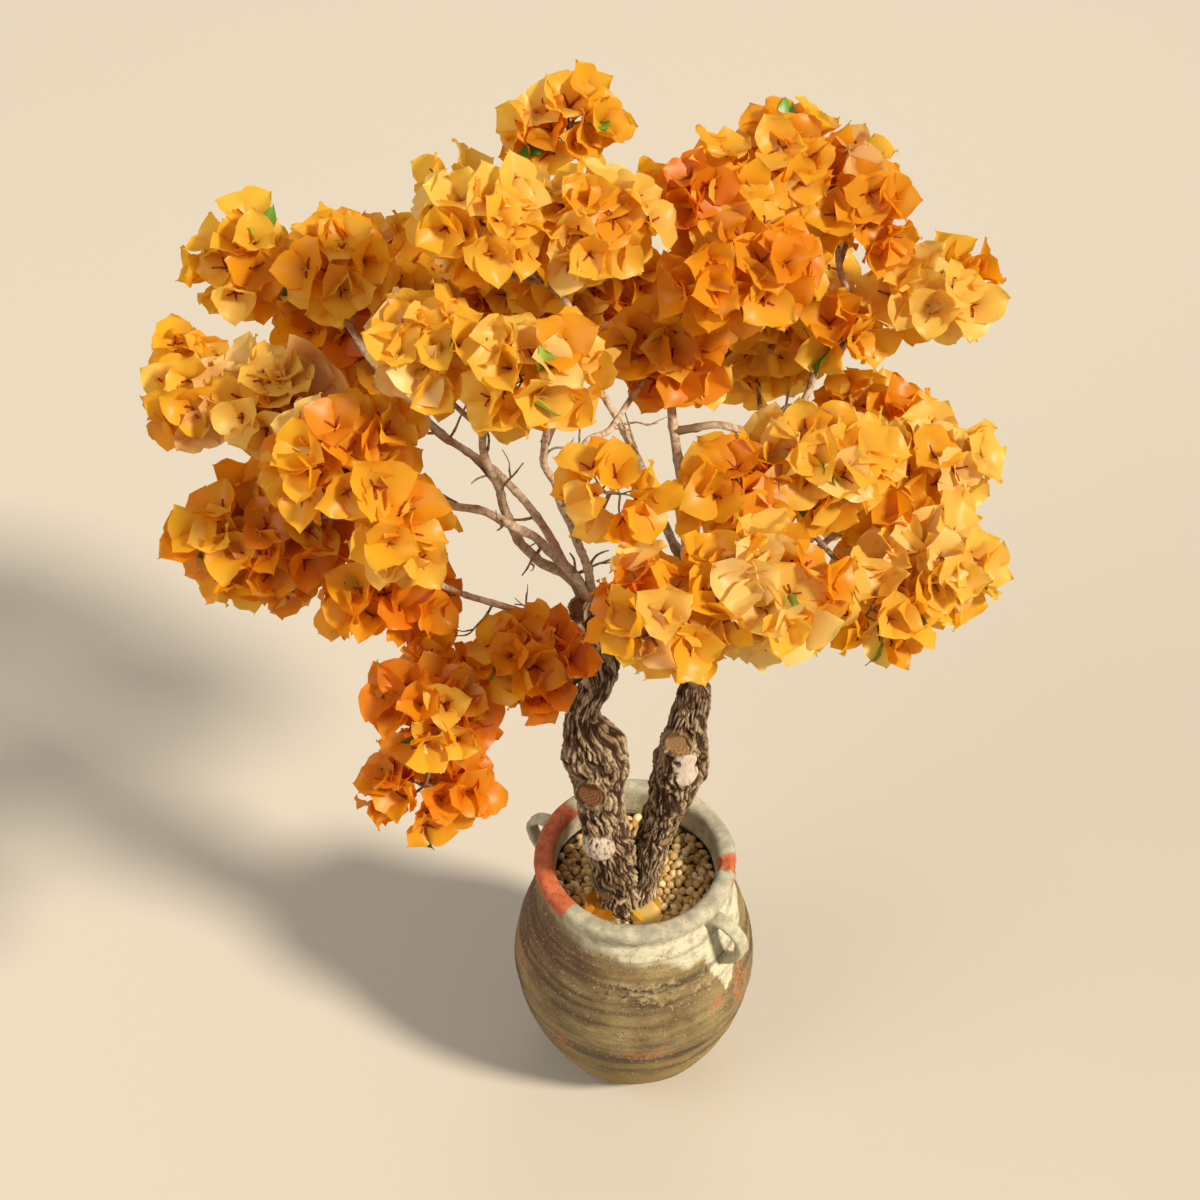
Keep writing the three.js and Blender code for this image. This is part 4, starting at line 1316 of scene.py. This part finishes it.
@dataclass
class Boughs:
    """The boughs and their bare side twigs."""

    trunk: Trunk
    crook: float = 0.05
    columns: int = 18
    step: float = 2.6
    knot_gap: float = 33.0
    knot_length: float = 3.0
    bare_run: float = 45.0
    fork_length: float = 34.0
    old_run: float = 55.0
    sample_step: float = 6.0
    seed: int = 31
    limbs: dict[str, Limb] = field(default_factory=dict)

    def __post_init__(self) -> None:
        """Lays out every bough from the limb that carries it."""
        dice = self.trunk.dice
        self.limbs = {arm.name: arm for arm in self.trunk.arms}
        for name, carrier, at, radii, course in BOUGHS:
            points = [self.limbs[carrier].course.at(at)[0], *(np.array(p, float) for p in course)]
            crooked = [points[0]]
            for before, after in zip(points, points[1:]):
                span = np.linalg.norm(after - before)
                crooked += [(before + after) / 2 + dice.kick() * 2 * self.crook * span, after]
            phase = 2 * math.pi * dice.roll()
            self.limbs[name] = Limb(name, Course(np.array(crooked)), np.array(radii), phase)

    def samples(self) -> tuple[Array, Array]:
        """Places along every limb with the radius there.

        Returns:
            The places and the radii.
        """
        places, radii = [], []
        for limb in self.limbs.values():
            share = np.linspace(0, 1, int(limb.course.length / self.sample_step))
            places.append(limb.course.at(share))
            radii.append(limb.radius(share))
        return np.concatenate(places), np.concatenate(radii)

    def side_twig(self, skin: Skin, start: Array, heading: Array, length: float, radius: float,
                  rng: np.random.Generator) -> None:
        """Adds a bare crooked twig, which forks while it is long.

        Args:
            skin: Where it is added.
            start: Its foot.
            heading: Its first direction.
            length: Its length.
            radius: Its radius at the foot.
            rng: Seeded numbers.
        """
        knots = [start]
        way = heading
        for _ in range(4):
            way = unit(way + rng.normal(scale=0.28, size=3) + [0, 0, 0.12])
            knots.append(knots[-1] + way * length / 4)
        course = Course(np.array(knots))
        share = np.linspace(0, 1, 14)
        swell = 1 + 0.35 * np.exp(-((share[:, None] - [0.25, 0.5, 0.75]) / 0.03) ** 2).sum(axis=1)
        skin.tube(course.at(share), radius * (1 - 0.6 * share) * swell, 7, 1)
        if length > self.fork_length:
            fork = unit(way + rng.normal(scale=0.7, size=3))
            self.side_twig(skin, course.at(0.6)[0], fork, 0.5 * length, 0.6 * radius, rng)

    def dress(self, skin: Skin, limb: Limb, rng: np.random.Generator) -> None:
        """Adds one bough with its knots and its side twigs.

        Args:
            skin: Where they are added.
            limb: The bough.
            rng: Seeded numbers.
        """
        length = limb.course.length
        rows = int(length / self.step)
        share = np.linspace(0, 1, rows)
        angle = circle(self.columns)
        out = spokes(*carried(limb.course.tangents(share)), angle)
        run = share * length
        knots = np.arange(rng.uniform(14, 30), length, self.knot_gap) + rng.uniform(-7, 7)
        swell = 1 + 0.16 * np.exp(-((run[:, None] - knots) / self.knot_length) ** 2).sum(axis=1)
        width = limb.radius(share) * swell * (1 + 0.4 * np.exp(-run / 11))
        flat = np.stack([np.tile(8 * np.cos(angle), rows), np.tile(8 * np.sin(angle), rows),
                         np.repeat(run + 70 * limb.phase, self.columns)], axis=1)
        rough = 1.5 * GRAIN.layered(flat / [6, 6, 24], 3) - 1.1 * GRAIN.cracks(flat / [3.4, 3.4, 26], 0.12)
        rough = rough.reshape(rows, -1) * (width / 8)[:, None]
        reach = (width[:, None] + rough) * np.where(np.arange(rows) == rows - 1, 0.2, 1)[:, None]
        age = np.repeat(np.maximum(step_up(width, 6.5, 9.5), 1 - step_up(run, 8, self.old_run)), self.columns)
        points = limb.course.at(share)[:, None] + out * reach[..., None]
        skin.add(points.reshape(-1, 3), grid_faces(rows, self.columns, True), age=age)
        for knot in knots[knots > self.bare_run][:-1:2]:
            at = min(knot / length, 0.96)
            heading = unit(limb.course.tangents(np.array([at]))[0] * 0.6 + unit(rng.normal(size=3)))
            self.side_twig(skin, limb.course.at(at)[0], heading, rng.uniform(28, 62),
                           0.3 * float(limb.radius(at)) + 0.4, rng)

    def build(self) -> None:
        """Builds the boughs and their twigs as one piece."""
        rng = np.random.default_rng(self.seed)
        skin = Skin()
        names = [name for name, *_ in BOUGHS]
        for name in names:
            self.dress(skin, self.limbs[name], rng)
        skin.piece("bough_wood", [TwigBark("bough_bark", tint("c2ab90"), tint("93785a")),
                                  TwigBark("bare_twigs", tint("9c8365"), tint("5e422b"))], Slot.BOUGH, names)


class Palette(Enum):
    """Shares of the eight bract colours in a mass, from cream to rust and dried rose."""

    PALE = (4, 5, 5, 3, 1, 0, 0, 0.5)
    GOLD = (1, 2, 5, 5, 3, 1, 0, 0.4)
    AMBER = (0, 1, 3, 5, 4, 2, 0.6, 0.3)
    DEEP = (0, 0, 1, 2, 4, 5, 3, 0.3)


BRACT_FINISHES = (
    Petal("bract_cream", tint("f6dc84"), tint("fbd65a")),
    Petal("bract_apricot", tint("f5d060"), tint("facc40")),
    Petal("bract_gold", tint("f2c644"), tint("f8c030")),
    Petal("bract_amber", tint("efba30"), tint("f5b41e")),
    Petal("bract_orange", tint("eca922"), tint("f2a214")),
    Petal("bract_deep", tint("e89a1c"), tint("ee9210")),
    Petal("bract_rust", tint("e48a18"), tint("e87e0c")),
    Petal("bract_dried", tint("ecc67c"), tint("ecb456")),
)

# The palettes follow the light in the crown as well as the bracts' own tones: the deeper ones on the low,
# underneath, inner and back masses are partly painted shade, and the pale ones on the top, front and right
# partly painted light.
MASSES = (
    ("crest", "bough_top", 1, (-66, 190, 1176), (58, 54, 46), Palette.AMBER),
    ("back_tuft", "bough_top", 0.86, (-178, 190, 1111), (44, 42, 32), Palette.GOLD),
    ("top_left", "bough_top", 0.8, (-135, 40, 1178), (60, 58, 52), Palette.PALE),
    ("top_mid", "bough_top", 0.92, (-44, 60, 1165), (62, 58, 56), Palette.PALE),
    ("crown_right", "bough_rise", 1, (53, 120, 1150), (60, 60, 52), Palette.AMBER),
    ("inner_right", "bough_rise", 0.88, (85, 60, 1115), (76, 66, 60), Palette.AMBER),
    ("peak_right", "bough_right_back", 1, (129, 170, 1150), (56, 58, 52), Palette.AMBER),
    ("shoulder_right", "bough_right_back", 0.93, (196, 160, 1108), (50, 54, 64), Palette.AMBER),
    ("far_right", "bough_right_back", 0.62, (271, 150, 1017), (68, 52, 46), Palette.PALE),
    ("back_small", "bough_right_back", 0.5, (191, 130, 987), (50, 46, 46), Palette.GOLD),
    ("upper_left", "bough_upper_left", 1, (-368, 150, 1044), (52, 58, 56), Palette.GOLD),
    ("upper_left_in", "bough_upper_left", 0.85, (-276, 130, 1058), (57, 58, 54), Palette.GOLD),
    ("far_left", "bough_far_left", 1, (-412, 60, 977), (57, 60, 49), Palette.GOLD),
    ("left_mid", "bough_far_left", 0.7, (-337, 40, 977), (62, 62, 58), Palette.GOLD),
    ("left_front", "bough_left", 1, (-264, -70, 1006), (72, 66, 60), Palette.GOLD),
    ("left_low", "bough_left", 0.95, (-339, -40, 886), (82, 66, 66), Palette.DEEP),
    ("left_inner", "bough_low_left", 1, (-211, -110, 963), (50, 54, 52), Palette.GOLD),
    ("left_under", "bough_low_left", 0.9, (-230, -110, 866), (74, 46, 38), Palette.DEEP),
    ("mid_left", "bough_centre_left", 1, (-182, -40, 1105), (58, 60, 54), Palette.PALE),
    ("mid", "bough_middle", 1, (-93, -80, 1119), (62, 60, 54), Palette.PALE),
    ("centre", "bough_inner", 1, (23, 85, 998), (64, 50, 60), Palette.AMBER),
    ("small_mid", "bough_middle", 0.3, (-29, -140, 1040), (54, 46, 50), Palette.AMBER),
    ("right_in", "bough_right", 0.85, (78, -90, 992), (62, 60, 52), Palette.AMBER),
    ("right_mid", "bough_right", 1, (156, -50, 987), (66, 64, 60), Palette.PALE),
    ("right_under", "bough_right", 0.95, (207, -150, 896), (60, 50, 44), Palette.GOLD),
    ("right_out", "bough_right_out", 1, (257, 0, 938), (64, 62, 52), Palette.PALE),
    ("right_low", "bough_right_out", 0.9, (245, -90, 902), (80, 66, 60), Palette.PALE),
    ("front_left", "bough_front", 1, (18, -220, 976), (66, 58, 58), Palette.GOLD),
    ("front_right", "bough_front", 0.95, (105, -210, 989), (68, 60, 57), Palette.PALE),
    ("low_in", "bough_low", 0.5, (-103, -130, 810), (56, 50, 64), Palette.DEEP),
    ("low_mid", "bough_low", 0.9, (-188, -165, 798), (62, 58, 58), Palette.DEEP),
    ("low_tip", "bough_low", 1, (-205, -165, 668), (67, 50, 46), Palette.DEEP),
    ("back_left", "bough_back_left", 1, (-270, 218, 930), (100, 88, 96), Palette.AMBER),
    ("back_mid", "bough_back_mid", 1, (-82, 240, 950), (98, 80, 98), Palette.AMBER),
    ("back_right", "bough_back_right", 0.55, (112, 230, 940), (98, 82, 98), Palette.GOLD),
    ("back_far_right", "bough_back_right", 1, (240, 140, 815), (80, 82, 82), Palette.AMBER),
)


@dataclass
class Blade:
    """A thin blade, such as a bract or a leaf: a grid of points along and across its midrib."""

    rows: int = 10
    columns: int = 7
    breadth: float = 0.49
    blunt: float = 0.4
    point: float = 0.85

    def __post_init__(self) -> None:
        """Lays out the grid, closer at both ends."""
        share = np.linspace(0, 1, self.rows)[:, None]
        self.along = 0.014 + 0.986 * (share - 0.08 * np.sin(2 * math.pi * share))
        self.over = np.linspace(-1, 1, self.columns)[None, :]
        bulge = np.sin(math.pi * np.minimum(self.along, 0.996) ** 0.8)
        self.half = self.breadth * bulge ** (self.blunt + self.point * self.along ** 3)
        self.faces = grid_faces(self.rows, self.columns, False)

    def spread(self, length: float, leans: tuple[float, float, float], cup: float, wave: float, twist: float,
               phase: float) -> Array:
        """Bends the blade.

        Args:
            length: Length of its midrib.
            leans: Its lean from the stalk at the root, in the middle and past the tip, in degrees.
            cup: How far its sides rise from the fold of the midrib, as a share of its half width.
            wave: Height of the waves along its edge.
            twist: Turn of its tip about the midrib, in radians.
            phase: Where these waves start.

        Returns:
            Its points, with the stalk along Z and the blade leaning towards X.
        """
        root, middle, tip = leans
        v, off = self.along, np.abs(self.over)
        near, past = np.minimum(v * 2, 1), np.maximum(2 * v - 1, 0)
        lean = np.radians(root + (middle - root) * near + (tip - middle) * past)
        pace = np.diff(v, axis=0, prepend=0) * length
        x, z = np.cumsum(np.sin(lean) * pace, axis=0), np.cumsum(np.cos(lean) * pace, axis=0)
        half = self.half * length
        drop = 0.09 * length * np.maximum(1 - 2.2 * v, 0) ** 2 * off ** 1.5
        ripple = np.sin(2 * math.pi * 1.7 * v + phase + 1.9 * np.sign(self.over))
        veins = 0.8 * np.cos(2 * math.pi * (3.6 * (v - 0.3 * off)) + phase) * off
        lift = cup * half * (0.45 * off + 0.55 * off ** 2) + wave * off ** 2 * ripple
        lift = lift + veins + twist * v * self.over * half
        y = self.over * half + 0.1 * twist * length * v ** 2
        x, z = x - (drop * np.sin(lean) + lift * np.cos(lean)), z - drop * np.cos(lean) + lift * np.sin(lean)
        return np.stack([x, y, z], axis=2).reshape(-1, 3)


class Bloom:
    """A blossom: three bracts round three slim buds, at the end of its stalk."""

    BLADE = Blade()
    BRACTS = 3
    LEAN = 42.0
    OPENING = 24.0
    CURLS = ((0, 0.55), (1, 3.8), (-0.3, 0.3), (0, 6.3))
    BUD_RADII = np.array([0.8, 1.35, 0.95, 1.1])
    BUD_SIDES = 4

    def __init__(self, site: Array, axis: Array, spin: float, length: float,
                 rng: np.random.Generator) -> None:
        """Settles the blossom.

        Args:
            site: Where its bracts join.
            axis: Its stalk's last direction.
            spin: Its turn round the stalk, in radians.
            length: Length of its bracts.
            rng: Seeded numbers.
        """
        self.site, self.axis, self.spin, self.length, self.rng = site, axis, spin, length, rng
        self.open = rng.uniform(0, 1)

    def turned(self, points: Array, turn: float) -> Array:
        """Points set round the stalk.

        Args:
            points: Points with the stalk along Z.
            turn: The turn round it.

        Returns:
            The points in place.
        """
        side, rise = across(self.axis)
        out = side * math.cos(turn) + rise * math.sin(turn)
        return self.site + points @ np.stack([out, np.cross(self.axis, out), self.axis])

    def grow(self, bracts: Skin, buds: Skin, finish: int) -> None:
        """Adds the blossom's bracts and buds.

        Args:
            bracts: Where the bracts are added.
            buds: Where the buds are added.
            finish: Index of the bracts' finish.
        """
        rng = self.rng
        for k in range(self.BRACTS):
            turn = self.spin + 2 * math.pi * k / self.BRACTS + rng.uniform(-0.16, 0.16)
            lean = self.LEAN + self.OPENING * self.open + rng.uniform(-10, 10)
            leans = (lean - 24, lean + 2, lean + rng.uniform(-18, 40))
            length = self.length * rng.uniform(0.86, 1.06)
            blade = self.BLADE.spread(length, leans, *(rng.uniform(*span) for span in self.CURLS))
            bracts.add(self.turned(blade, turn), self.BLADE.faces, finish)
            self.bud(buds, turn + rng.uniform(-0.3, 0.3), math.radians(rng.uniform(14, 40)))

    def bud(self, buds: Skin, turn: float, lean: float) -> None:
        """Adds a slim bud that stands over a bract's midrib.

        Args:
            buds: Where it is added.
            turn: Its bearing round the stalk.
            lean: Its lean from the stalk.
        """
        length = self.rng.uniform(0.26, 0.4) * self.length
        share = np.linspace(0, 1, len(self.BUD_RADII))
        bend = lean + 0.35 * share ** 2
        line = np.stack([np.sin(bend) * share, 0 * share, np.cos(bend) * share], axis=1) * length
        thick = self.BUD_RADII * self.rng.uniform(0.85, 1.15)
        buds.tube(self.turned(line + [0.8, 0, 0.5], turn), thick, self.BUD_SIDES)


@dataclass
class Mass:
    """One mass of blossom on its bough, grown by the solids' rule and carried to finer twigs."""

    name: str
    centre: Array
    reach: Array
    palette: Palette
    number: int
    foot: Array
    hub: Array

    @property
    def size(self) -> float:
        """Mean of its three reaches."""
        return float(np.mean(self.reach))


@dataclass(frozen=True)
class Site:
    """A blossom's place, its direction from the mass's middle, its spin and its bracts' length."""

    place: Array
    outward: Array
    spin: float
    length: float


@dataclass
class Crown:
    """All the masses of blossom, with their twigs, stalks, buds and leaves."""

    boughs: Boughs
    seed: int = 4711
    hub_share: float = 0.2
    blossom_area: float = 700.0
    tries: int = 12
    bract: float = 39.0
    lean: float = 50.0
    clearance: float = -14.0
    slack: float = 1.07
    least_depth: float = 0.2
    depth_spread: float = 0.5
    ragged: float = 0.35
    jitter: float = 0.3
    stride: int = 7
    spacing: float = 18.5
    hub_room: float = 13.0
    limb_room: float = 6.0
    shoot_share: int = 4
    shoot_reach: float = 0.62
    facing: tuple[float, float, float] = (0.14, -0.32, 0.5)
    outward_pull: float = 0.75
    scatter: float = 0.24
    own_shade: float = 0.45
    leaf_chance: float = 0.12
    limit: int = 150000
    masses: list[Mass] = field(default_factory=list)
    sites: list[Array] = field(default_factory=list)
    buds: Skin = field(default_factory=Skin)
    twigs: Skin = field(default_factory=Skin)
    leaves: Skin = field(default_factory=Skin)

    def __post_init__(self) -> None:
        """Sets every mass on its bough."""
        for number, (name, carrier, at, centre, reach, palette) in enumerate(MASSES):
            centre, reach = np.array(centre, float), np.array(reach, float)
            foot = self.boughs.limbs[carrier].course.at(min(at, 0.99))[0]
            back = foot - centre
            far = float(np.linalg.norm(back))
            hub = centre + back / far * min(self.hub_share * float(np.mean(reach)), 0.5 * far)
            self.masses.append(Mass(name, centre, reach, palette, number, foot, hub))
        self.centres = np.array([mass.centre for mass in self.masses])
        self.sizes = np.array([mass.size for mass in self.masses])
        self.limb_places, self.limb_radii = self.boughs.samples()

    def directions(self, count: int, turn: float) -> Array:
        """Directions spread evenly over a sphere.

        Args:
            count: How many.
            turn: Turn of the first, in radians.

        Returns:
            One unit vector in each row.
        """
        i = np.arange(count)
        z = 1 - (2 * i + 1) / count
        angle = turn + i * math.pi * (3 - math.sqrt(5))
        flat = np.sqrt(1 - z * z)
        return np.stack([flat * np.cos(angle), flat * np.sin(angle), z], axis=1)

    def sited(self, mass: Mass, outward: Array, length: Array, deeper: Array) -> Array:
        """Places for blossoms, so that their bracts end at the mass's ragged skin or somewhat deeper.

        Args:
            mass: The mass.
            outward: Directions from its middle, one in each row.
            length: Lengths of their bracts.
            deeper: Shares by which the blossoms lie deeper.

        Returns:
            The places, one in each row.
        """
        edge = self.slack * np.linalg.norm(outward * mass.reach, axis=1)
        edge *= 1 + self.ragged * GRAIN.layered((mass.centre + 55 * outward) / 42, 2)
        lean = math.radians(self.lean)
        level = np.sqrt(np.maximum(edge ** 2 - (length * math.sin(lean)) ** 2, 0))
        depth = np.maximum(self.least_depth * edge, level - length * math.cos(lean))
        return mass.centre + outward * (depth * (1 - deeper))[:, None]

    def free(self, mass: Mass, point: Array) -> bool:
        """Whether a place is in the mass's own space, clear of the limbs and of other blossoms.

        Args:
            mass: The mass.
            point: The place.

        Returns:
            True where a blossom may grow.
        """
        if np.linalg.norm(point - mass.hub) <= self.hub_room:
            return False
        if np.sum(((point - mass.centre) / mass.reach) ** 2) > self.slack ** 2:
            return False
        power = np.sum((point - self.centres) ** 2, axis=1) - self.sizes ** 2
        apart = np.linalg.norm(self.centres - mass.centre, axis=1)
        others = np.arange(len(self.masses)) != mass.number
        if np.any((power - power[mass.number] <= 2 * apart * self.clearance)[others]):
            return False
        if np.any(np.linalg.norm(self.limb_places - point, axis=1) < self.limb_radii + self.limb_room):
            return False
        return not self.sites or np.min(np.linalg.norm(np.array(self.sites) - point, axis=1)) > self.spacing

    def blossoms(self, mass: Mass) -> list[Site]:
        """Grows the places of a mass's blossoms.

        Args:
            mass: The mass.

        Returns:
            The blossoms' sites.
        """
        dice = Dice(self.seed + 31 * (mass.number + 1))
        quota = round(4 * math.pi * mass.size ** 2 / self.blossom_area)
        tries = self.directions(self.tries * quota + 1, 2 * math.pi * dice.roll())
        count = 2 * len(tries)
        rolls = [(dice.roll(), dice.kick(), dice.roll(), dice.roll()) for _ in range(count)]
        grown, kicks, spins, deeper = (np.array(column) for column in zip(*rolls))
        length = self.bract * (0.84 + 0.28 * grown)
        outward = unit(tries[(np.arange(count) * self.stride) % len(tries)] + kicks * self.jitter)
        places = self.sited(mass, outward, length, self.depth_spread * deeper)
        found = []
        for i, point in enumerate(places):
            if len(found) < quota and self.free(mass, point):
                self.sites.append(point)
                found.append(Site(point, outward[i], 2 * math.pi * spins[i], float(length[i])))
        return found

    def leaf(self, start: Array, heading: Array, rng: np.random.Generator) -> None:
        """Adds a small green leaf on its stalk.

        Args:
            start: Where it leaves the twig.
            heading: Its direction.
            rng: Seeded numbers.
        """
        end = start + heading * rng.uniform(7, 13)
        self.twigs.tube(np.linspace(start, end, 3), np.array([0.8, 0.65, 0.5]), 4, 1)
        bloom = Bloom(end, heading, rng.uniform(0, 6.3), 30, rng)
        blade = Blade(8, 7, 0.3, 0.75)
        points = blade.spread(rng.uniform(22, 36), (6, 16, rng.uniform(30, 60)), rng.uniform(0.1, 0.45), 0.7,
                              rng.uniform(-0.2, 0.2), rng.uniform(0, 6.3))
        self.leaves.add(bloom.turned(points, rng.uniform(0, 6.3)), blade.faces, int(rng.integers(0, 3)))

    def stalk(self, foot: Array, push: Array, point: Array, axis: Array) -> Array:
        """The bent line of a blossom's stalk.

        Args:
            foot: Where it leaves its twig.
            push: How it starts.
            point: Where its bracts join.
            axis: Its last direction.

        Returns:
            Points of the line.
        """
        w = np.linspace(0, 1, 6)[:, None]
        one, two = foot + push, point - axis * 0.4 * np.linalg.norm(point - foot)
        return (1 - w) ** 3 * foot + 3 * (1 - w) ** 2 * w * one + 3 * (1 - w) * w ** 2 * two + w ** 3 * point

    def shoot(self, mass: Mass, own: list[Site], bracts: Skin, rng: np.random.Generator) -> None:
        """Adds a twig from the hub with the blossoms that it carries.

        Args:
            mass: The mass.
            own: The blossoms' sites.
            bracts: Where the bracts are added.
            rng: Seeded numbers.
        """
        middle = np.mean([site.place for site in own], axis=0)
        tip = mass.hub + self.shoot_reach * (middle - mass.hub)
        bend = (mass.hub + tip) / 2 + rng.normal(scale=2.5, size=3)
        line = Course(np.array([mass.hub, bend, tip]))
        self.twigs.tube(line.at(np.linspace(0, 1, 9)), np.linspace(1.8, 1.1, 9), 6)
        chances = np.array(mass.palette.value) / sum(mass.palette.value)
        colour = int(rng.choice(len(chances), p=chances))
        for site in own:
            foot = line.at(rng.uniform(0.55, 1))[0]
            drift = rng.normal(scale=self.scatter, size=3)
            axis = unit(self.outward_pull * site.outward + self.facing + drift)
            stalk = self.stalk(foot, 0.35 * (tip - bend), site.place, axis)
            self.twigs.tube(stalk, np.linspace(1.0, 0.75, 6), 4, 1)
            own_shade = rng.uniform() < self.own_shade
            shade = int(rng.choice(len(chances), p=chances)) if own_shade else colour
            Bloom(site.place, axis, site.spin, site.length, rng).grow(bracts, self.buds, shade)
            if rng.uniform() < self.leaf_chance:
                self.leaf(stalk[3], unit(site.outward + rng.normal(scale=0.6, size=3)), rng)

    def grow(self, mass: Mass, bracts: Skin) -> None:
        """Grows one mass: its stem, its shoots and their blossoms.

        Args:
            mass: The mass.
            bracts: Where the bracts are added.
        """
        rng = np.random.default_rng(self.seed + mass.number)
        found = self.blossoms(mass)
        drift = rng.normal(scale=0.05, size=3) * np.linalg.norm(mass.foot - mass.hub)
        stem = Course(np.array([mass.foot, (mass.foot + mass.hub) / 2 + drift, mass.hub]))
        self.twigs.tube(stem.at(np.linspace(0, 1, 16)), np.linspace(2.7, 1.9, 16), 8)
        shoots = unit(np.array([site.outward for site in found[:max(2, len(found) // self.shoot_share)]]))
        nearest = [int(np.argmax(shoots @ site.outward)) for site in found]
        for shoot in shoots:
            number = int(np.argmax(shoots @ shoot))
            self.shoot(mass, [site for site, near in zip(found, nearest) if near == number], bracts, rng)

    def build(self) -> None:
        """Grows every mass and makes the pieces, each kind of part apart."""
        bracts, stood, part = Skin(), [], 1
        for mass in self.masses:
            self.grow(mass, bracts)
            stood.append("mass_" + mass.name)
            if bracts.triangles() > self.limit or mass is self.masses[-1]:
                bracts.piece(f"bracts_{part}", list(BRACT_FINISHES), Slot.BLOSSOM, stood)
                bracts, stood, part = Skin(), [], part + 1
        log.info("blossoms: %d", len(self.sites))
        self.buds.piece("buds", [Plain("bud_skin", tint("96300f"), 0.5)], Slot.BLOSSOM, [])
        barks = [TwigBark("twig_bark", tint("a08462"), tint("62462c")),
                 TwigBark("stalk_bark", tint("8c8a4c"), tint("7a5a34"), 0.6)]
        self.twigs.piece("twigs", barks, Slot.BOUGH, [])
        greens = (("leaf_green", "5f8c2c", 0.42), ("leaf_dark", "3f6b22", 0.4), ("leaf_pale", "86a840", 0.45))
        skins = [Plain(name, tint(code), roughness) for name, code, roughness in greens]
        self.leaves.piece("leaves", skins, Slot.BLOSSOM, [])


@dataclass
class FallenBracts:
    """Single bracts that lie on the gravel: place, turn in degrees, finish and length of each."""

    level: float = 308.5
    spots: tuple = (
        (-52, -50, 30, 4, 40), (-44, -54, 150, 5, 36), (-3, -60, 100, 0, 36), (15, -57, 200, 2, 34),
    )
    seed: int = 7

    def build(self) -> None:
        """Lays the bracts down."""
        rng = np.random.default_rng(self.seed)
        skin = Skin()
        for x, y, turn, finish, length in self.spots:
            bloom = Bloom(np.array([x, y, self.level]), np.array([0.0, 0.0, 1.0]), 0, length, rng)
            blade = Bloom.BLADE.spread(length, (62, 84, 100), 0.45, 2.6, 0.1, rng.uniform(0, 6))
            skin.add(bloom.turned(blade, math.radians(turn)), Bloom.BLADE.faces, finish)
        skin.piece("fallen_bracts", list(BRACT_FINISHES), Slot.BLOSSOM, [])


@dataclass
class Studio:
    """Floor, soft lights and the camera of the photograph, in metres."""

    camera: tuple[float, float, float] = (-0.039, -1.515, 2.365)
    pitch: float = 43.3
    lens: float = 68.52
    sensor: float = 36.0
    clip: tuple[float, float] = (0.05, 60.0)
    floor: Colour = tint("beb4a4")
    floor_half: float = 12.0
    sky: Colour = (0.95, 0.97, 1.0, 1)
    sky_strength: float = 0.32

    def build(self) -> None:
        """Builds the floor, the lights and the camera."""
        scene = bpy.context.scene
        scene.view_settings.view_transform = "Standard"
        mesh = bpy.data.meshes.new("floor")
        half = self.floor_half
        corners = [(x * half, y * half, -MM) for x, y in ((-1, -1), (1, -1), (1, 1), (-1, 1))]
        mesh.from_pydata(corners, [], [(0, 1, 2, 3)])
        mesh.materials.append(Shader("floor").close({"Base Color": self.floor, "Roughness": 0.9}))
        floor = bpy.data.objects.new("floor", mesh)
        scene.collection.objects.link(floor)
        self.sun("key", (4.6, -2.3, 4.4), 9, 4.9, (1.0, 0.92, 0.78))
        self.lamp("fill", (-2.6, -1.4, 3.6), 2.4, 68, (1.0, 0.96, 0.88))
        self.lamp("back", (0.6, 2.6, 2.6), 1.8, 18, (1.0, 0.93, 0.85))
        world = bpy.data.worlds.new("studio")
        world.use_nodes = True
        sky = world.node_tree.nodes["Background"].inputs
        sky["Color"].default_value, sky["Strength"].default_value = self.sky, self.sky_strength
        scene.world = world
        data = bpy.data.cameras.new("camera")
        data.lens, data.sensor_width = self.lens, self.sensor
        data.clip_start, data.clip_end = self.clip
        camera = bpy.data.objects.new("camera", data)
        camera.location = self.camera
        camera.rotation_euler = (math.radians(self.pitch), 0, 0)
        scene.collection.objects.link(camera)
        scene.camera = camera

    def sun(self, name: str, way: tuple, angle: float, power: float, colour: tuple) -> None:
        """Adds the wide soft light that comes from one side.

        Args:
            name: Its name.
            way: Direction that it comes from.
            angle: Its width in degrees, which softens the shadows.
            power: Its power in watts for each square metre.
            colour: Its colour.
        """
        data = bpy.data.lights.new(name, "SUN")
        data.angle, data.energy, data.color = math.radians(angle), power, colour
        lamp = bpy.data.objects.new(name, data)
        lamp.rotation_euler = (-Vector(way)).to_track_quat("-Z", "Y").to_euler()
        bpy.context.scene.collection.objects.link(lamp)

    def lamp(self, name: str, place: tuple, size: float, power: float, colour: tuple) -> None:
        """Adds a soft square light that faces the crown.

        Args:
            name: Its name.
            place: Where it stands.
            size: Its side.
            power: Its power in watts.
            colour: Its colour.
        """
        data = bpy.data.lights.new(name, "AREA")
        data.size, data.energy, data.color = size, power, colour
        lamp = bpy.data.objects.new(name, data)
        lamp.location = place
        aim = Vector((0, 0, 0.7)) - lamp.location
        lamp.rotation_euler = aim.to_track_quat("-Z", "Y").to_euler()
        bpy.context.scene.collection.objects.link(lamp)


def main() -> None:
    """Builds every piece in order."""
    logging.basicConfig(level=logging.INFO, format="%(message)s")
    jar = Jar()
    jar.build()
    Lugs().build()
    trunk = Trunk()
    GravelBed().build(jar, trunk)
    trunk.build()
    boughs = Boughs(trunk)
    boughs.build()
    Crown(boughs).build()
    FallenBracts().build()
    Studio().build()
    log.info("sizes written")


if __name__ == "__main__":
    main()
